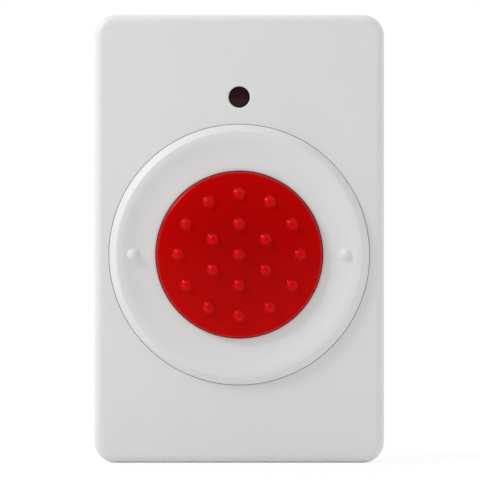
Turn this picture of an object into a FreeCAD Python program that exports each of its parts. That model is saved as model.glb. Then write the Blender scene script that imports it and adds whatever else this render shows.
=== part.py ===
import FreeCAD, Part
import math
import os

# Sizes are in millimetres. X runs to the right and Z up. Depths are measured
# out from the wall, which is the -Y direction.

# Case, two shells that part in a plane parallel to the wall
CASE_WIDTH = 64.0
CASE_HEIGHT = 99.0
CASE_DEPTH = 22.0
CORNER_RADIUS = 4.7
SMALLEST_CORNER = 0.4
FRONT_EDGE_RADIUS = 1.8
WALL = 2.0
BASE_FLOOR = 2.0
COVER_FRONT_WALL = 2.0
BASE_DEPTH = 7.0
PARTING_GAP = 0.2

# Lip that stands up from the base, inside the cover's walls
LIP_CLEARANCE = 0.15
LIP_THICKNESS = 1.25
LIP_HEIGHT = 1.6
LIP_ROOT = 2.0

# Two hooks at the cover's top edge, curved round its hinge line
HOOK_INNER_RADIUS = 3.1
HOOK_THICKNESS = 1.2
HOOK_WIDTH = 6.0
HOOK_INSET = 14.0
HOOK_WRAP_DEG = 75.0
HOOK_LEG = 6.0
HOOK_WEB_START = 2.2
HOOK_BAR = 2.2
HOOK_SIDE_GAP = 0.4
HOOK_END_GAP = 0.5

# Latch tongue at the bottom edge of the base, and its window in the cover
TONGUE_WIDTH = 10.0
TONGUE_THICKNESS = 1.2
TONGUE_GAP = 0.3
TONGUE_LENGTH = 4.5
TONGUE_SLOT = 0.8
NOSE_START = 2.0
NOSE_HEIGHT = 0.8
NOSE_LAND = 0.5
NOSE_RAMP = 0.8
NOSE_CLEARANCE = 0.3

# Holes in the base for the two wall screws
WALL_HOLE_RADIUS = 2.1
UPPER_HOLE_DROP = 9.5
HOLE_SPACING = 62.0
SCREWDRIVER_RADIUS = 4.5

# Round bezel, held in a stepped well of the cover. It is as large as the case's
# width allows, or its height between the cell and the window.
BEZEL_SIDE_MARGIN = 3.15
BEZEL_ABOVE = 23.4
WELL_CELL_GAP = 0.53
BEZEL_HOLE_EDGE = 0.2
BEZEL_GAP = 0.1
BEZEL_SEAT_DEPTH = 3.5
BEZEL_CREST_WIDTH = 1.5
BEZEL_CREST_RISE = 1.4
BEZEL_CREST_ROUND = 0.6
BEZEL_SKIRT_THICKNESS = 1.5
BEZEL_PLATE_THICKNESS = 1.1
BEZEL_FACE_WIDTH = 10.25
DISH_DROP = 1.4
DISH_START = 0.6
DISH_BEND_INSET = 2.2
BEZEL_EDGE_RADIUS = 0.25
BEZEL_PIP_INSET = 5.4

# Snap legs of the bezel
LEG_INSET = 4.5
LEG_THICKNESS = 1.2
LEG_WIDTH = 5.0
LEG_COUNT = 4
LEG_NOSE = 0.7
LEG_NOSE_HEIGHT = 0.95
LEG_CLEARANCE = 0.15
LEG_FLEX_ROOM = 0.7
LEG_SLOT_SIDE = 0.3

# Stepped well
WELL_WALL = 1.2
SHELF_THICKNESS = 1.5
WELL_CLEARANCE = 1.5
WELL_FLOOR_DEPTH = 15.0
WELL_FLOOR_THICKNESS = 1.5
KEY_WIDTH = 2.8
KEY_REACH = 2.4
KEY_TOP_GAP = 0.4
KEY_CLEARANCE = 0.3

# Push button
CAP_GAP = 0.2
CAP_RIM_RISE = 1.1
CAP_CROWN = 1.4
CAP_EDGE_RADIUS = 0.9
CAP_SKIN = 1.8
CAP_SKIRT = 1.6
CAP_TRAVEL = 1.5
FLANGE_WIDTH = 2.25
FLANGE_THICKNESS = 1.2
FLANGE_GAP = 0.05
STEM_RADIUS = 2.9
STEM_CLEARANCE = 0.08
BUSH_THICKNESS = 1.4
BUSH_HEIGHT = 3.6

# Raised pips, in rings of six on the cap and two on the bezel
PIP_RADIUS = 1.3
PIP_HEIGHT = 1.0
PIP_MARGIN = 4.84
PIP_RINGS = 2

# Return spring
RETURN_WIRE = 0.3
RETURN_CLEARANCE = 0.62
RETURN_TURNS = 5
SPRING_GAP = 0.05

# Status window and lamp
WINDOW_ABOVE_BEZEL = 5.95
WINDOW_RADIUS = 2.3
WINDOW_GAP = 0.05
WINDOW_HOLE_EDGE = 0.4
WINDOW_RECESS = 0.4
WINDOW_FLANGE = 0.9
WINDOW_FLANGE_THICKNESS = 1.2
LAMP_RADIUS = 1.5
LAMP_HEIGHT = 5.3
LAMP_RIM = 0.4
LAMP_RIM_HEIGHT = 0.8
LAMP_TO_WINDOW = 1.8
SPACER_RADIUS = 2.2
LEAD_RADIUS = 0.25
LEAD_PITCH = 2.54
LEAD_CLEARANCE = 0.1
LEAD_TAIL = 1.0

# Circuit board and its screws
BOARD_THICKNESS = 1.6
BOARD_STANDOFF = 2.2
BOARD_CLEARANCE = 0.5
BOARD_HOOK_ROOM = 0.7
BOARD_BAY_GAP = 0.6
BOARD_BAY_SIDE = 0.1
BOSS_RADIUS = 2.6
SCREW_RADIUS = 1.1
SCREW_FIT = 0.02
SCREW_LENGTH = 4.6
SCREW_HEAD_RADIUS = 2.0
SCREW_HEAD_HEIGHT = 1.5
SCREW_SLOT = 0.5
SCREW_SLOT_DEPTH = 0.7
PILOT_FLOOR = 1.0
SCREW_HOLE_GAP = 0.15
SCREW_INSET = 3.6
UPPER_SCREW_DROP = 20.5
LOWER_SCREW_RISE = 4.6

# Lithium cell, its cradle and contacts
CELL_RADIUS = 7.8
CELL_LENGTH = 27.0
CELL_NUB_RADIUS = 3.2
CELL_NUB = 0.8
CELL_EDGE = 0.5
CELL_CLEARANCE = 0.3
CELL_FLOOR_GAP = 0.4
CRADLE_FIT = 0.1
CRADLE_HEIGHT = 4.5
CRADLE_THICKNESS = 1.6
CRADLE_X = 8.0
CONTACT_THICKNESS = 0.5
CONTACT_WIDTH = 9.0
CONTACT_HEIGHT = 8.5
CONTACT_FOOT = 5.5
CONTACT_SCREW_GAP = 0.9
CONTACT_GAP = 0.05
CELL_SPRING_LENGTH = 2.6
CELL_SPRING_RADIUS = 4.2
CELL_SPRING_END_RADIUS = 2.4
CELL_SPRING_WIRE = 0.3
CELL_SPRING_TURNS = 2.5

# Push switches: one under the stem, one held down by a post of the cover
SWITCH_SIDE = 6.0
SWITCH_HEIGHT = 3.5
SWITCH_CORNER = 0.5
PLUNGER_RADIUS = 1.75
PLUNGER_FIT = 0.06
PLUNGER_SEAT = 1.3
PLUNGER_BORE = 2.3
PLUNGER_CHAMFER = 0.25
ALARM_PLUNGER_HEIGHT = 1.5
ALARM_PLUNGER_TRAVEL = 0.3
STEM_STOP_GAP = 0.02
TAMPER_INSET = 10.1
TAMPER_DROP = 6.5
TAMPER_PLUNGER_HEIGHT = 3.7
TAMPER_POST_RADIUS = 1.5
TAMPER_POST_GAP = 0.03
TERMINAL_WIDTH = 0.7
TERMINAL_THICKNESS = 0.3
TERMINAL_PITCH = 4.5
TERMINAL_TOP = 2.2

# Coil antenna
ANTENNA_INSET = 4.1
ANTENNA_DROP = 5.5
ANTENNA_WIRE = 0.35
ANTENNA_RADIUS = 2.2
ANTENNA_PITCH = 2.0
ANTENNA_TURNS = 7
ANTENNA_LIFT = 0.5

# Radio on its carrier board
RADIO_INSET = 11.1
RADIO_DROP = 14.0
CARRIER_WIDTH = 16.0
CARRIER_HEIGHT = 21.0
CARRIER_THICKNESS = 0.8
SHIELD_WIDTH = 14.0
SHIELD_HEIGHT = 16.0
SHIELD_DEPTH = 2.8
SHIELD_SHEET = 0.3
SHIELD_CORNER = 0.8

# Controller chip with pins along two sides
CHIP_INSET = 13.1
CHIP_DROP = 12.0
CHIP_WIDTH = 7.5
CHIP_LENGTH = 12.8
CHIP_THICKNESS = 2.2
CHIP_STANDOFF = 0.1
CHIP_EDGE = 0.3
PIN_COUNT = 10
PIN_PITCH = 1.27
PIN_WIDTH = 0.4
PIN_THICKNESS = 0.25
PIN_FOOT = 0.9
PIN_SHOULDER = 0.5
PIN_LEVEL = 1.2

# Timing crystal, reservoir capacitor and programming header
CRYSTAL_INSET = 12.1
CRYSTAL_DROP = 14.0
CRYSTAL_LENGTH = 11.0
CRYSTAL_WIDTH = 4.6
CRYSTAL_HEIGHT = 3.5
CRYSTAL_EDGE = 0.3
CAPACITOR_DROP = 22.0
CAPACITOR_RADIUS = 3.15
CAPACITOR_HEIGHT = 5.4
CAPACITOR_FOOT = 0.9
CAPACITOR_EDGE = 0.4
CAPACITOR_GROOVE = 0.25
HEADER_INSET = 9.1
HEADER_DROP = 12.0
HEADER_PITCH = 2.54
HEADER_PINS = 3
HEADER_PIN = 0.64
HEADER_HEIGHT = 2.5
HEADER_PIN_RISE = 3.2

# Chip parts, soldered flat on the board in two short rows
CHIP_PART_LENGTH = 2.0
CHIP_PART_WIDTH = 1.25
CHIP_PART_HEIGHT = 0.6
CHIP_PART_PITCH = 2.6
RESISTOR_X = 9.0
RESISTOR_DROP = 6.5
RESISTOR_COUNT = 4
CERAMIC_X = -9.0
CERAMIC_DROP = 4.5
CERAMIC_COUNT = 4

# Places that follow from the sizes above, first those of the case
HALF_WIDTH = CASE_WIDTH / 2
HALF_HEIGHT = CASE_HEIGHT / 2
COVER_BACK = BASE_DEPTH + PARTING_GAP
COVER_INSIDE = CASE_DEPTH - COVER_FRONT_WALL
LIP_INSET = WALL + LIP_CLEARANCE
LIP_INNER_INSET = LIP_INSET + LIP_THICKNESS
LIP_TOP = BASE_DEPTH + LIP_HEIGHT
HINGE_DEPTH = BASE_DEPTH
HINGE_Z = HALF_HEIGHT
HOOK_OUTER_RADIUS = HOOK_INNER_RADIUS + HOOK_THICKNESS
HOOK_SPACING = CASE_WIDTH - 2 * HOOK_INSET
TONGUE_FACE = WALL + TONGUE_GAP - HALF_HEIGHT
UPPER_HOLE_Z = HALF_HEIGHT - UPPER_HOLE_DROP
LOWER_HOLE_Z = UPPER_HOLE_Z - HOLE_SPACING

# The cell's place, and the bezel's well beside it
CELL_Z = TONGUE_FACE + TONGUE_THICKNESS + CELL_CLEARANCE + CELL_RADIUS
CELL_DEPTH = BASE_FLOOR + CELL_FLOOR_GAP + CELL_RADIUS
CELL_END = CELL_LENGTH / 2
SHELF_FRONT = CASE_DEPTH - BEZEL_SEAT_DEPTH
SHELF_BACK = SHELF_FRONT - SHELF_THICKNESS
CELL_REACH = math.sqrt(max(CELL_RADIUS ** 2 - (SHELF_BACK - CELL_DEPTH) ** 2, 0))
WELL_LOW_Z = CELL_Z + CELL_REACH + WELL_CELL_GAP
FREE_HEIGHT = HALF_HEIGHT - BEZEL_ABOVE - WELL_LOW_Z - WELL_WALL
BEZEL_HOLE_RADIUS = min(HALF_WIDTH - BEZEL_SIDE_MARGIN, FREE_HEIGHT / 2)
BUTTON_Z = WELL_LOW_Z + WELL_WALL + BEZEL_HOLE_RADIUS
BEZEL_RADIUS = BEZEL_HOLE_RADIUS - BEZEL_GAP
BEZEL_CREST_RADIUS = BEZEL_RADIUS - BEZEL_CREST_WIDTH
BEZEL_CREST_DEPTH = CASE_DEPTH + BEZEL_CREST_RISE
BEZEL_BORE = BEZEL_RADIUS - BEZEL_FACE_WIDTH
BEZEL_INNER_DEPTH = BEZEL_CREST_DEPTH - DISH_DROP
BEZEL_BACK = BEZEL_INNER_DEPTH - BEZEL_PLATE_THICKNESS
BEZEL_PIP_CIRCLE = BEZEL_RADIUS - BEZEL_PIP_INSET
DISH_START_RADIUS = BEZEL_BORE + DISH_START
DISH_BEND_RADIUS = BEZEL_CREST_RADIUS - DISH_BEND_INSET
LEG_RADIUS = BEZEL_RADIUS - LEG_INSET

# The cap in the bezel, its stem and spring in the well
CAP_RADIUS = BEZEL_BORE - CAP_GAP
CAP_RIM_DEPTH = BEZEL_INNER_DEPTH + CAP_RIM_RISE
CAP_CROWN_DEPTH = CAP_RIM_DEPTH + CAP_CROWN
CAP_SPHERE = (CAP_RADIUS ** 2 + CAP_CROWN ** 2) / (2 * CAP_CROWN)
PIP_PITCH = (CAP_RADIUS - PIP_MARGIN) / PIP_RINGS
FLANGE_RADIUS = CAP_RADIUS + FLANGE_WIDTH
FLANGE_FRONT = BEZEL_BACK - FLANGE_GAP
FLANGE_BACK = FLANGE_FRONT - FLANGE_THICKNESS
WELL_RADIUS = FLANGE_RADIUS + WELL_CLEARANCE
WELL_BACK = WELL_FLOOR_DEPTH - WELL_FLOOR_THICKNESS
BUSH_BORE = STEM_RADIUS + STEM_CLEARANCE
BUSH_RADIUS = BUSH_BORE + BUSH_THICKNESS
RETURN_RADIUS = BUSH_RADIUS + RETURN_CLEARANCE + RETURN_WIRE

# The circuit board and what stands on it
BOARD_BACK = BASE_FLOOR + BOARD_STANDOFF
BOARD_FRONT = BOARD_BACK + BOARD_THICKNESS
BOARD_HALF_WIDTH = HALF_WIDTH - LIP_INNER_INSET - BOARD_CLEARANCE
BOARD_LOW_Z = LIP_INNER_INSET + BOARD_CLEARANCE - HALF_HEIGHT
BOARD_HIGH_Z = HINGE_Z - HOOK_OUTER_RADIUS - BOARD_HOOK_ROOM
BOARD_BAY_HALF = CELL_END + CELL_SPRING_LENGTH + BOARD_BAY_SIDE
SCREW_X = BOARD_HALF_WIDTH - SCREW_INSET
UPPER_SCREW_Z = BOARD_HIGH_Z - UPPER_SCREW_DROP
LOWER_SCREW_Z = BOARD_LOW_Z + LOWER_SCREW_RISE
TAIL_END = BOARD_BACK - LEAD_TAIL
SWITCH_FRONT = BOARD_FRONT + SWITCH_HEIGHT
ALARM_PLUNGER_TOP = SWITCH_FRONT + ALARM_PLUNGER_HEIGHT
STEM_TIP = ALARM_PLUNGER_TOP + CAP_TRAVEL - ALARM_PLUNGER_TRAVEL + STEM_STOP_GAP
TAMPER_PLUNGER_TOP = SWITCH_FRONT + TAMPER_PLUNGER_HEIGHT
TAMPER_X = BOARD_HALF_WIDTH - TAMPER_INSET
TAMPER_Z = BOARD_HIGH_Z - TAMPER_DROP
ANTENNA_X = ANTENNA_INSET - BOARD_HALF_WIDTH
ANTENNA_Z = BOARD_HIGH_Z - ANTENNA_DROP
RADIO_X = RADIO_INSET - BOARD_HALF_WIDTH
RADIO_Z = UPPER_SCREW_Z - RADIO_DROP
CHIP_X = BOARD_HALF_WIDTH - CHIP_INSET
CHIP_Z = UPPER_SCREW_Z - CHIP_DROP
CRYSTAL_X = BOARD_HALF_WIDTH - CRYSTAL_INSET
CRYSTAL_Z = CHIP_Z - CRYSTAL_DROP
CAPACITOR_X = RADIO_X
CAPACITOR_Z = RADIO_Z - CAPACITOR_DROP
HEADER_X = BOARD_HALF_WIDTH - HEADER_INSET
HEADER_Z = CRYSTAL_Z - HEADER_DROP
RESISTOR_Z = BUTTON_Z - RESISTOR_DROP
CERAMIC_Z = BUTTON_Z - CERAMIC_DROP

# The status window in the cover and the lamp under it
WINDOW_Z = BUTTON_Z + BEZEL_HOLE_RADIUS + WINDOW_ABOVE_BEZEL
WINDOW_BACK = COVER_INSIDE - WINDOW_FLANGE_THICKNESS
LAMP_TOP = WINDOW_BACK - LAMP_TO_WINDOW
LAMP_BACK = LAMP_TOP - LAMP_HEIGHT
BOARD_SCREWS = (
    (-SCREW_X, UPPER_SCREW_Z),
    (SCREW_X, UPPER_SCREW_Z),
    (-SCREW_X, LOWER_SCREW_Z),
    (SCREW_X, LOWER_SCREW_Z),
)

FRONT = FreeCAD.Vector(0, -1, 0)
RIGHT = FreeCAD.Vector(1, 0, 0)
UP = FreeCAD.Vector(0, 0, 1)
PAST = 1.0
POINTS_PER_TURN = 12


def spot(x, z, depth):
    return FreeCAD.Vector(x, -depth, z)


def centred(middle, size):
    return (middle - size / 2, middle + size / 2)


def block(x_span, z_span, depth_span):
    """A box between the two ends of each span."""
    corner = spot(x_span[0], z_span[0], depth_span[1])
    width = x_span[1] - x_span[0]
    depth = depth_span[1] - depth_span[0]
    return Part.makeBox(width, depth, z_span[1] - z_span[0], corner)


def rod(radius, x, z, depth_span):
    """A round bar that stands straight out from the wall."""
    length = depth_span[1] - depth_span[0]
    return Part.makeCylinder(radius, length, spot(x, z, depth_span[0]), FRONT)


def tube(outer, inner, depth_span):
    """A ring about the button's axis."""
    solid = rod(outer, 0, BUTTON_Z, depth_span)
    return solid.cut(rod(inner, 0, BUTTON_Z, (depth_span[0] - PAST, depth_span[1] + PAST)))


def joined(pieces):
    return pieces[0].multiFuse(pieces[1:]).removeSplitter()


def group(pieces):
    return Part.makeCompound(pieces)


def depth_edges(solid):
    """The straight edges that run along the depth."""
    found = []
    for edge in solid.Edges:
        first, last = edge.Vertexes[0].Point, edge.Vertexes[-1].Point
        if abs(first.y - last.y) > 1e-6 and first.sub(last).cross(FRONT).Length < 1e-6:
            found.append(edge)
    return found


def edges_at_depth(solid, depth):
    found = []
    for edge in solid.Edges:
        box = edge.BoundBox
        if abs(box.YMin + depth) < 1e-5 and abs(box.YMax + depth) < 1e-5:
            found.append(edge)
    return found


def ring_edges(solid, radius, depth):
    """The circles of one radius at one depth."""
    found = []
    for edge in edges_at_depth(solid, depth):
        if hasattr(edge.Curve, "Radius") and abs(edge.Curve.Radius - radius) < 1e-4:
            found.append(edge)
    return found


def rounded_block(x_span, z_span, depth_span, corner):
    solid = block(x_span, z_span, depth_span)
    return solid.makeFillet(corner, depth_edges(solid))


def case_plate(inset, depth_span):
    """A slab with the outline of the case, drawn in by inset."""
    width = CASE_WIDTH - 2 * inset
    height = CASE_HEIGHT - 2 * inset
    corner = max(CORNER_RADIUS - inset, SMALLEST_CORNER)
    return rounded_block(centred(0, width), centred(0, height), depth_span, corner)


def case_ring(outer_inset, inner_inset, depth_span):
    hollow = case_plate(inner_inset, (depth_span[0] - PAST, depth_span[1] + PAST))
    return case_plate(outer_inset, depth_span).cut(hollow)


def line(start, end):
    """An edge of a turned outline, from points of radius and depth."""
    points = [spot(radius, BUTTON_Z, depth) for radius, depth in (start, end)]
    return Part.LineSegment(*points).toShape()


def arc(start, middle, end):
    points = [spot(radius, BUTTON_Z, depth) for radius, depth in (start, middle, end)]
    return Part.Arc(*points).toShape()


def polyline(points):
    return [line(points[i], points[i + 1]) for i in range(len(points) - 1)]


def turned(edges):
    """The solid that an outline sweeps round the button's axis."""
    face = Part.Face(Part.Wire(Part.__sortEdges__(edges)))
    return face.revolve(spot(0, BUTTON_Z, 0), FRONT, 360)


def side_profile(points, x_span):
    """A solid with one outline of (z, depth) points along the whole of x_span."""
    corners = [spot(x_span[0], z, depth) for z, depth in points]
    face = Part.Face(Part.makePolygon(corners + corners[:1]))
    return face.extrude(RIGHT * (x_span[1] - x_span[0]))


def coil(radius, wire, pitch, turns):
    """A wound wire of one radius, which starts at (radius, 0, 0) and rises along Z."""
    path = Part.makeHelix(pitch, pitch * turns, radius)
    start = FreeCAD.Vector(radius, 0, 0)
    section = Part.Wire(Part.makeCircle(wire, start, FreeCAD.Vector(0, 1, 0)))
    return Part.Wire(path.Edges).makePipeShell([section], True, True)


def spring_coil(radius, end_radius, wire, rise, turns):
    """A sprung wire whose turns run evenly from one radius to the other."""
    count = math.ceil(POINTS_PER_TURN * turns)
    points = []
    for k in range(count + 1):
        share = k / count
        angle = 2 * math.pi * turns * share
        reach = radius + (end_radius - radius) * share
        points.append(FreeCAD.Vector(reach * math.cos(angle), reach * math.sin(angle), rise * share))
    curve = Part.BSplineCurve()
    curve.interpolate(points)
    section = Part.Wire(Part.makeCircle(wire, points[0], curve.tangent(curve.FirstParameter)[0]))
    return Part.Wire([curve.toShape()]).makePipeShell([section], True, True)


def placed(solid, point, direction):
    solid.Placement = FreeCAD.Placement(point, FreeCAD.Rotation(UP, direction))
    return solid


def hook_positions():
    return (-HOOK_SPACING / 2, HOOK_SPACING / 2)


def about_hinge(x, radius, angle_deg):
    """A point round the hinge line: 0 degrees is below it, 90 behind it."""
    angle = math.radians(angle_deg)
    depth = HINGE_DEPTH - radius * math.sin(angle)
    return spot(x, HINGE_Z - radius * math.cos(angle), depth)


def hinge_hook(x):
    """A curved finger with a straight leg and a web to the cover's top wall."""
    left = x - HOOK_WIDTH / 2
    outer = [about_hinge(left, HOOK_OUTER_RADIUS, HOOK_WRAP_DEG * k / 2) for k in range(3)]
    inner = [about_hinge(left, HOOK_INNER_RADIUS, HOOK_WRAP_DEG * k / 2) for k in range(3)]
    edges = [
        Part.Arc(*outer).toShape(),
        Part.LineSegment(outer[2], inner[2]).toShape(),
        Part.Arc(*inner).toShape(),
        Part.LineSegment(inner[0], outer[0]).toShape(),
    ]
    finger = Part.Face(Part.Wire(Part.__sortEdges__(edges))).extrude(RIGHT * HOOK_WIDTH)
    across = centred(x, HOOK_WIDTH)
    leg_z = (HINGE_Z - HOOK_OUTER_RADIUS, HINGE_Z - HOOK_INNER_RADIUS)
    leg_front = HINGE_DEPTH + HOOK_LEG
    leg = block(across, leg_z, (HINGE_DEPTH, leg_front))
    web_z = (leg_z[1], HALF_HEIGHT - WALL / 2)
    web = block(across, web_z, (HINGE_DEPTH + HOOK_WEB_START, leg_front))
    return joined([finger, leg, web])


def hook_way(x):
    """The room in the base that a hook swings through."""
    across = centred(x, HOOK_WIDTH + 2 * HOOK_SIDE_GAP)
    back = HINGE_DEPTH - HOOK_OUTER_RADIUS - HOOK_END_GAP
    window = block(across, (HALF_HEIGHT - WALL - PAST, HALF_HEIGHT + PAST), (back, BASE_DEPTH - HOOK_BAR))
    inside_z = (HALF_HEIGHT - LIP_INNER_INSET - PAST, HALF_HEIGHT - WALL)
    inside = block(across, inside_z, (back, LIP_TOP + PAST))
    return window.fuse(inside)


def latch_tongue():
    """A springy tongue whose nose snaps into the cover's bottom wall."""
    across = centred(0, TONGUE_WIDTH)
    tip = BASE_DEPTH + TONGUE_LENGTH
    stem_z = (TONGUE_FACE, TONGUE_FACE + TONGUE_THICKNESS)
    stem = block(across, stem_z, (BASE_DEPTH - LIP_ROOT, tip))
    start = BASE_DEPTH + NOSE_START
    peak = TONGUE_FACE - NOSE_HEIGHT
    outline = [
        (TONGUE_FACE, start),
        (peak, start),
        (peak, start + NOSE_LAND),
        (TONGUE_FACE, start + NOSE_LAND + NOSE_RAMP),
    ]
    return joined([stem, side_profile(outline, across)])


def latch_window():
    """The opening in the cover's bottom wall that the nose sits in."""
    start = BASE_DEPTH + NOSE_START
    depth_span = (start - NOSE_CLEARANCE, start + NOSE_LAND + NOSE_RAMP + NOSE_CLEARANCE)
    z_span = (-HALF_HEIGHT - PAST, WALL - HALF_HEIGHT + PAST / 2)
    return block(centred(0, TONGUE_WIDTH + 2 * NOSE_CLEARANCE), z_span, depth_span)


def cell_bore(radius):
    middle = spot(-CELL_LENGTH, CELL_Z, CELL_DEPTH)
    return Part.makeCylinder(radius, 2 * CELL_LENGTH, middle, RIGHT)


def cell_cradle(x):
    """A rib of the base, hollowed to the cell."""
    z_span = centred(CELL_Z, 2 * (CELL_RADIUS - CELL_CLEARANCE))
    rib = block(centred(x, CRADLE_THICKNESS), z_span, (BASE_FLOOR / 2, BASE_FLOOR + CRADLE_HEIGHT))
    return rib.cut(cell_bore(CELL_RADIUS + CRADLE_FIT))


def rear_base():
    tray = case_plate(0, (0, BASE_DEPTH))
    tray = tray.cut(case_plate(WALL, (BASE_FLOOR, BASE_DEPTH + PAST)))
    lip = case_ring(LIP_INSET, LIP_INNER_INSET, (BASE_DEPTH - LIP_ROOT, LIP_TOP))
    root = case_ring(WALL / 2, LIP_INNER_INSET, (BASE_DEPTH - LIP_ROOT, BASE_DEPTH))
    shell = joined([tray, lip, root])
    for x in hook_positions():
        shell = shell.cut(hook_way(x))
    for side in (-1, 1):
        slot_x = centred(side * (TONGUE_WIDTH + TONGUE_SLOT) / 2, TONGUE_SLOT)
        slot_z = (WALL - HALF_HEIGHT, LIP_INNER_INSET - HALF_HEIGHT + PAST)
        shell = shell.cut(block(slot_x, slot_z, (BASE_DEPTH - LIP_ROOT, LIP_TOP + PAST)))
    bosses = [rod(BOSS_RADIUS, x, z, (BASE_FLOOR / 2, BOARD_BACK)) for x, z in BOARD_SCREWS]
    cradles = [cell_cradle(-CRADLE_X), cell_cradle(CRADLE_X)]
    shell = joined([shell, latch_tongue()] + bosses + cradles)
    for x, z in BOARD_SCREWS:
        shell = shell.cut(rod(SCREW_RADIUS + SCREW_FIT, x, z, (PILOT_FLOOR, BOARD_FRONT)))
    for z in (UPPER_HOLE_Z, LOWER_HOLE_Z):
        shell = shell.cut(rod(WALL_HOLE_RADIUS, 0, z, (-PAST, BASE_FLOOR + PAST)))
    return shell


def leg_block(radius_span, width, depth_span, angle_deg):
    """A block on the button's rim at one angle, for the snap legs and slots."""
    piece = block(radius_span, centred(BUTTON_Z, width), depth_span)
    piece.rotate(spot(0, BUTTON_Z, 0), FRONT, angle_deg)
    return piece


def leg_angles():
    return [360 / LEG_COUNT * (k + 0.5) for k in range(LEG_COUNT)]


def button_well():
    """The stepped well: bezel pocket and shelf, inner wall, floor and guide bush."""
    pocket_outer = BEZEL_HOLE_RADIUS + WELL_WALL
    inner_outer = WELL_RADIUS + WELL_WALL
    pieces = [
        tube(pocket_outer, BEZEL_HOLE_RADIUS, (SHELF_BACK, COVER_INSIDE + PAST)),
        tube(pocket_outer, WELL_RADIUS, (SHELF_BACK, SHELF_FRONT)),
        tube(inner_outer, WELL_RADIUS, (WELL_BACK, SHELF_FRONT)),
        tube(inner_outer, BUSH_BORE, (WELL_BACK, WELL_FLOOR_DEPTH)),
        tube(BUSH_RADIUS, BUSH_BORE, (WELL_BACK, WELL_FLOOR_DEPTH + BUSH_HEIGHT)),
    ]
    for side in (-1, 1):
        key_x = sorted((side * (WELL_RADIUS - KEY_REACH), side * (WELL_RADIUS + WELL_WALL / 2)))
        key_depth = (WELL_BACK, BEZEL_BACK - KEY_TOP_GAP)
        pieces.append(block(key_x, centred(BUTTON_Z, KEY_WIDTH), key_depth))
    well = joined(pieces)
    slot_span = (LEG_RADIUS - LEG_FLEX_ROOM, LEG_RADIUS + LEG_THICKNESS + LEG_CLEARANCE)
    slot_depth = (SHELF_BACK - PAST, SHELF_FRONT + PAST)
    for angle in leg_angles():
        well = well.cut(leg_block(slot_span, LEG_WIDTH + 2 * LEG_SLOT_SIDE, slot_depth, angle))
    return well.common(case_plate(WALL / 2, (COVER_BACK, CASE_DEPTH)))


def front_cover():
    shell = case_plate(0, (COVER_BACK, CASE_DEPTH))
    shell = shell.makeFillet(FRONT_EDGE_RADIUS, edges_at_depth(shell, CASE_DEPTH))
    shell = shell.cut(case_plate(WALL, (COVER_BACK - PAST, COVER_INSIDE)))
    face_span = (COVER_INSIDE - PAST, CASE_DEPTH + PAST)
    shell = shell.cut(rod(BEZEL_HOLE_RADIUS, 0, BUTTON_Z, face_span))
    shell = shell.makeFillet(BEZEL_HOLE_EDGE, ring_edges(shell, BEZEL_HOLE_RADIUS, CASE_DEPTH))
    window_hole = WINDOW_RADIUS + WINDOW_GAP
    shell = shell.cut(rod(window_hole, 0, WINDOW_Z, face_span))
    shell = shell.makeFillet(WINDOW_HOLE_EDGE, ring_edges(shell, window_hole, CASE_DEPTH))
    post_span = (TAMPER_PLUNGER_TOP + TAMPER_POST_GAP, COVER_INSIDE + PAST)
    post = rod(TAMPER_POST_RADIUS, TAMPER_X, TAMPER_Z, post_span)
    hooks = [hinge_hook(x) for x in hook_positions()]
    shell = joined([shell, button_well(), post] + hooks)
    return shell.cut(latch_window())


def dish_angle():
    return 2 * math.atan(DISH_DROP / (BEZEL_CREST_RADIUS - DISH_START_RADIUS))


def dish_point(radius):
    """A point of the dished face: hollow inside the bend, rounded outside it."""
    steepest = math.sin(dish_angle())
    if radius <= DISH_BEND_RADIUS:
        hollow = (DISH_BEND_RADIUS - DISH_START_RADIUS) / steepest
        run = radius - DISH_START_RADIUS
        return (radius, BEZEL_INNER_DEPTH + hollow - math.sqrt(hollow ** 2 - run ** 2))
    crest = (BEZEL_CREST_RADIUS - DISH_BEND_RADIUS) / steepest
    run = BEZEL_CREST_RADIUS - radius
    return (radius, BEZEL_CREST_DEPTH - crest + math.sqrt(crest ** 2 - run ** 2))


def dish_arc(start_radius, end_radius):
    middle = (start_radius + end_radius) / 2
    return arc(dish_point(start_radius), dish_point(middle), dish_point(end_radius))


def pip(x, z, surface_depth):
    """A raised dome, as a ball sunk into the surface."""
    return Part.makeSphere(PIP_RADIUS, spot(x, z, surface_depth + PIP_HEIGHT - PIP_RADIUS))


def bezel_leg(angle_deg):
    tip = SHELF_BACK - LEG_CLEARANCE - LEG_NOSE_HEIGHT
    outer = LEG_RADIUS + LEG_THICKNESS
    leg = leg_block((LEG_RADIUS, outer), LEG_WIDTH, (tip, BEZEL_BACK + PAST / 2), angle_deg)
    nose_depth = (tip, tip + LEG_NOSE_HEIGHT)
    nose = leg_block((outer, outer + LEG_NOSE), LEG_WIDTH, nose_depth, angle_deg)
    return leg.fuse(nose)


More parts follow.
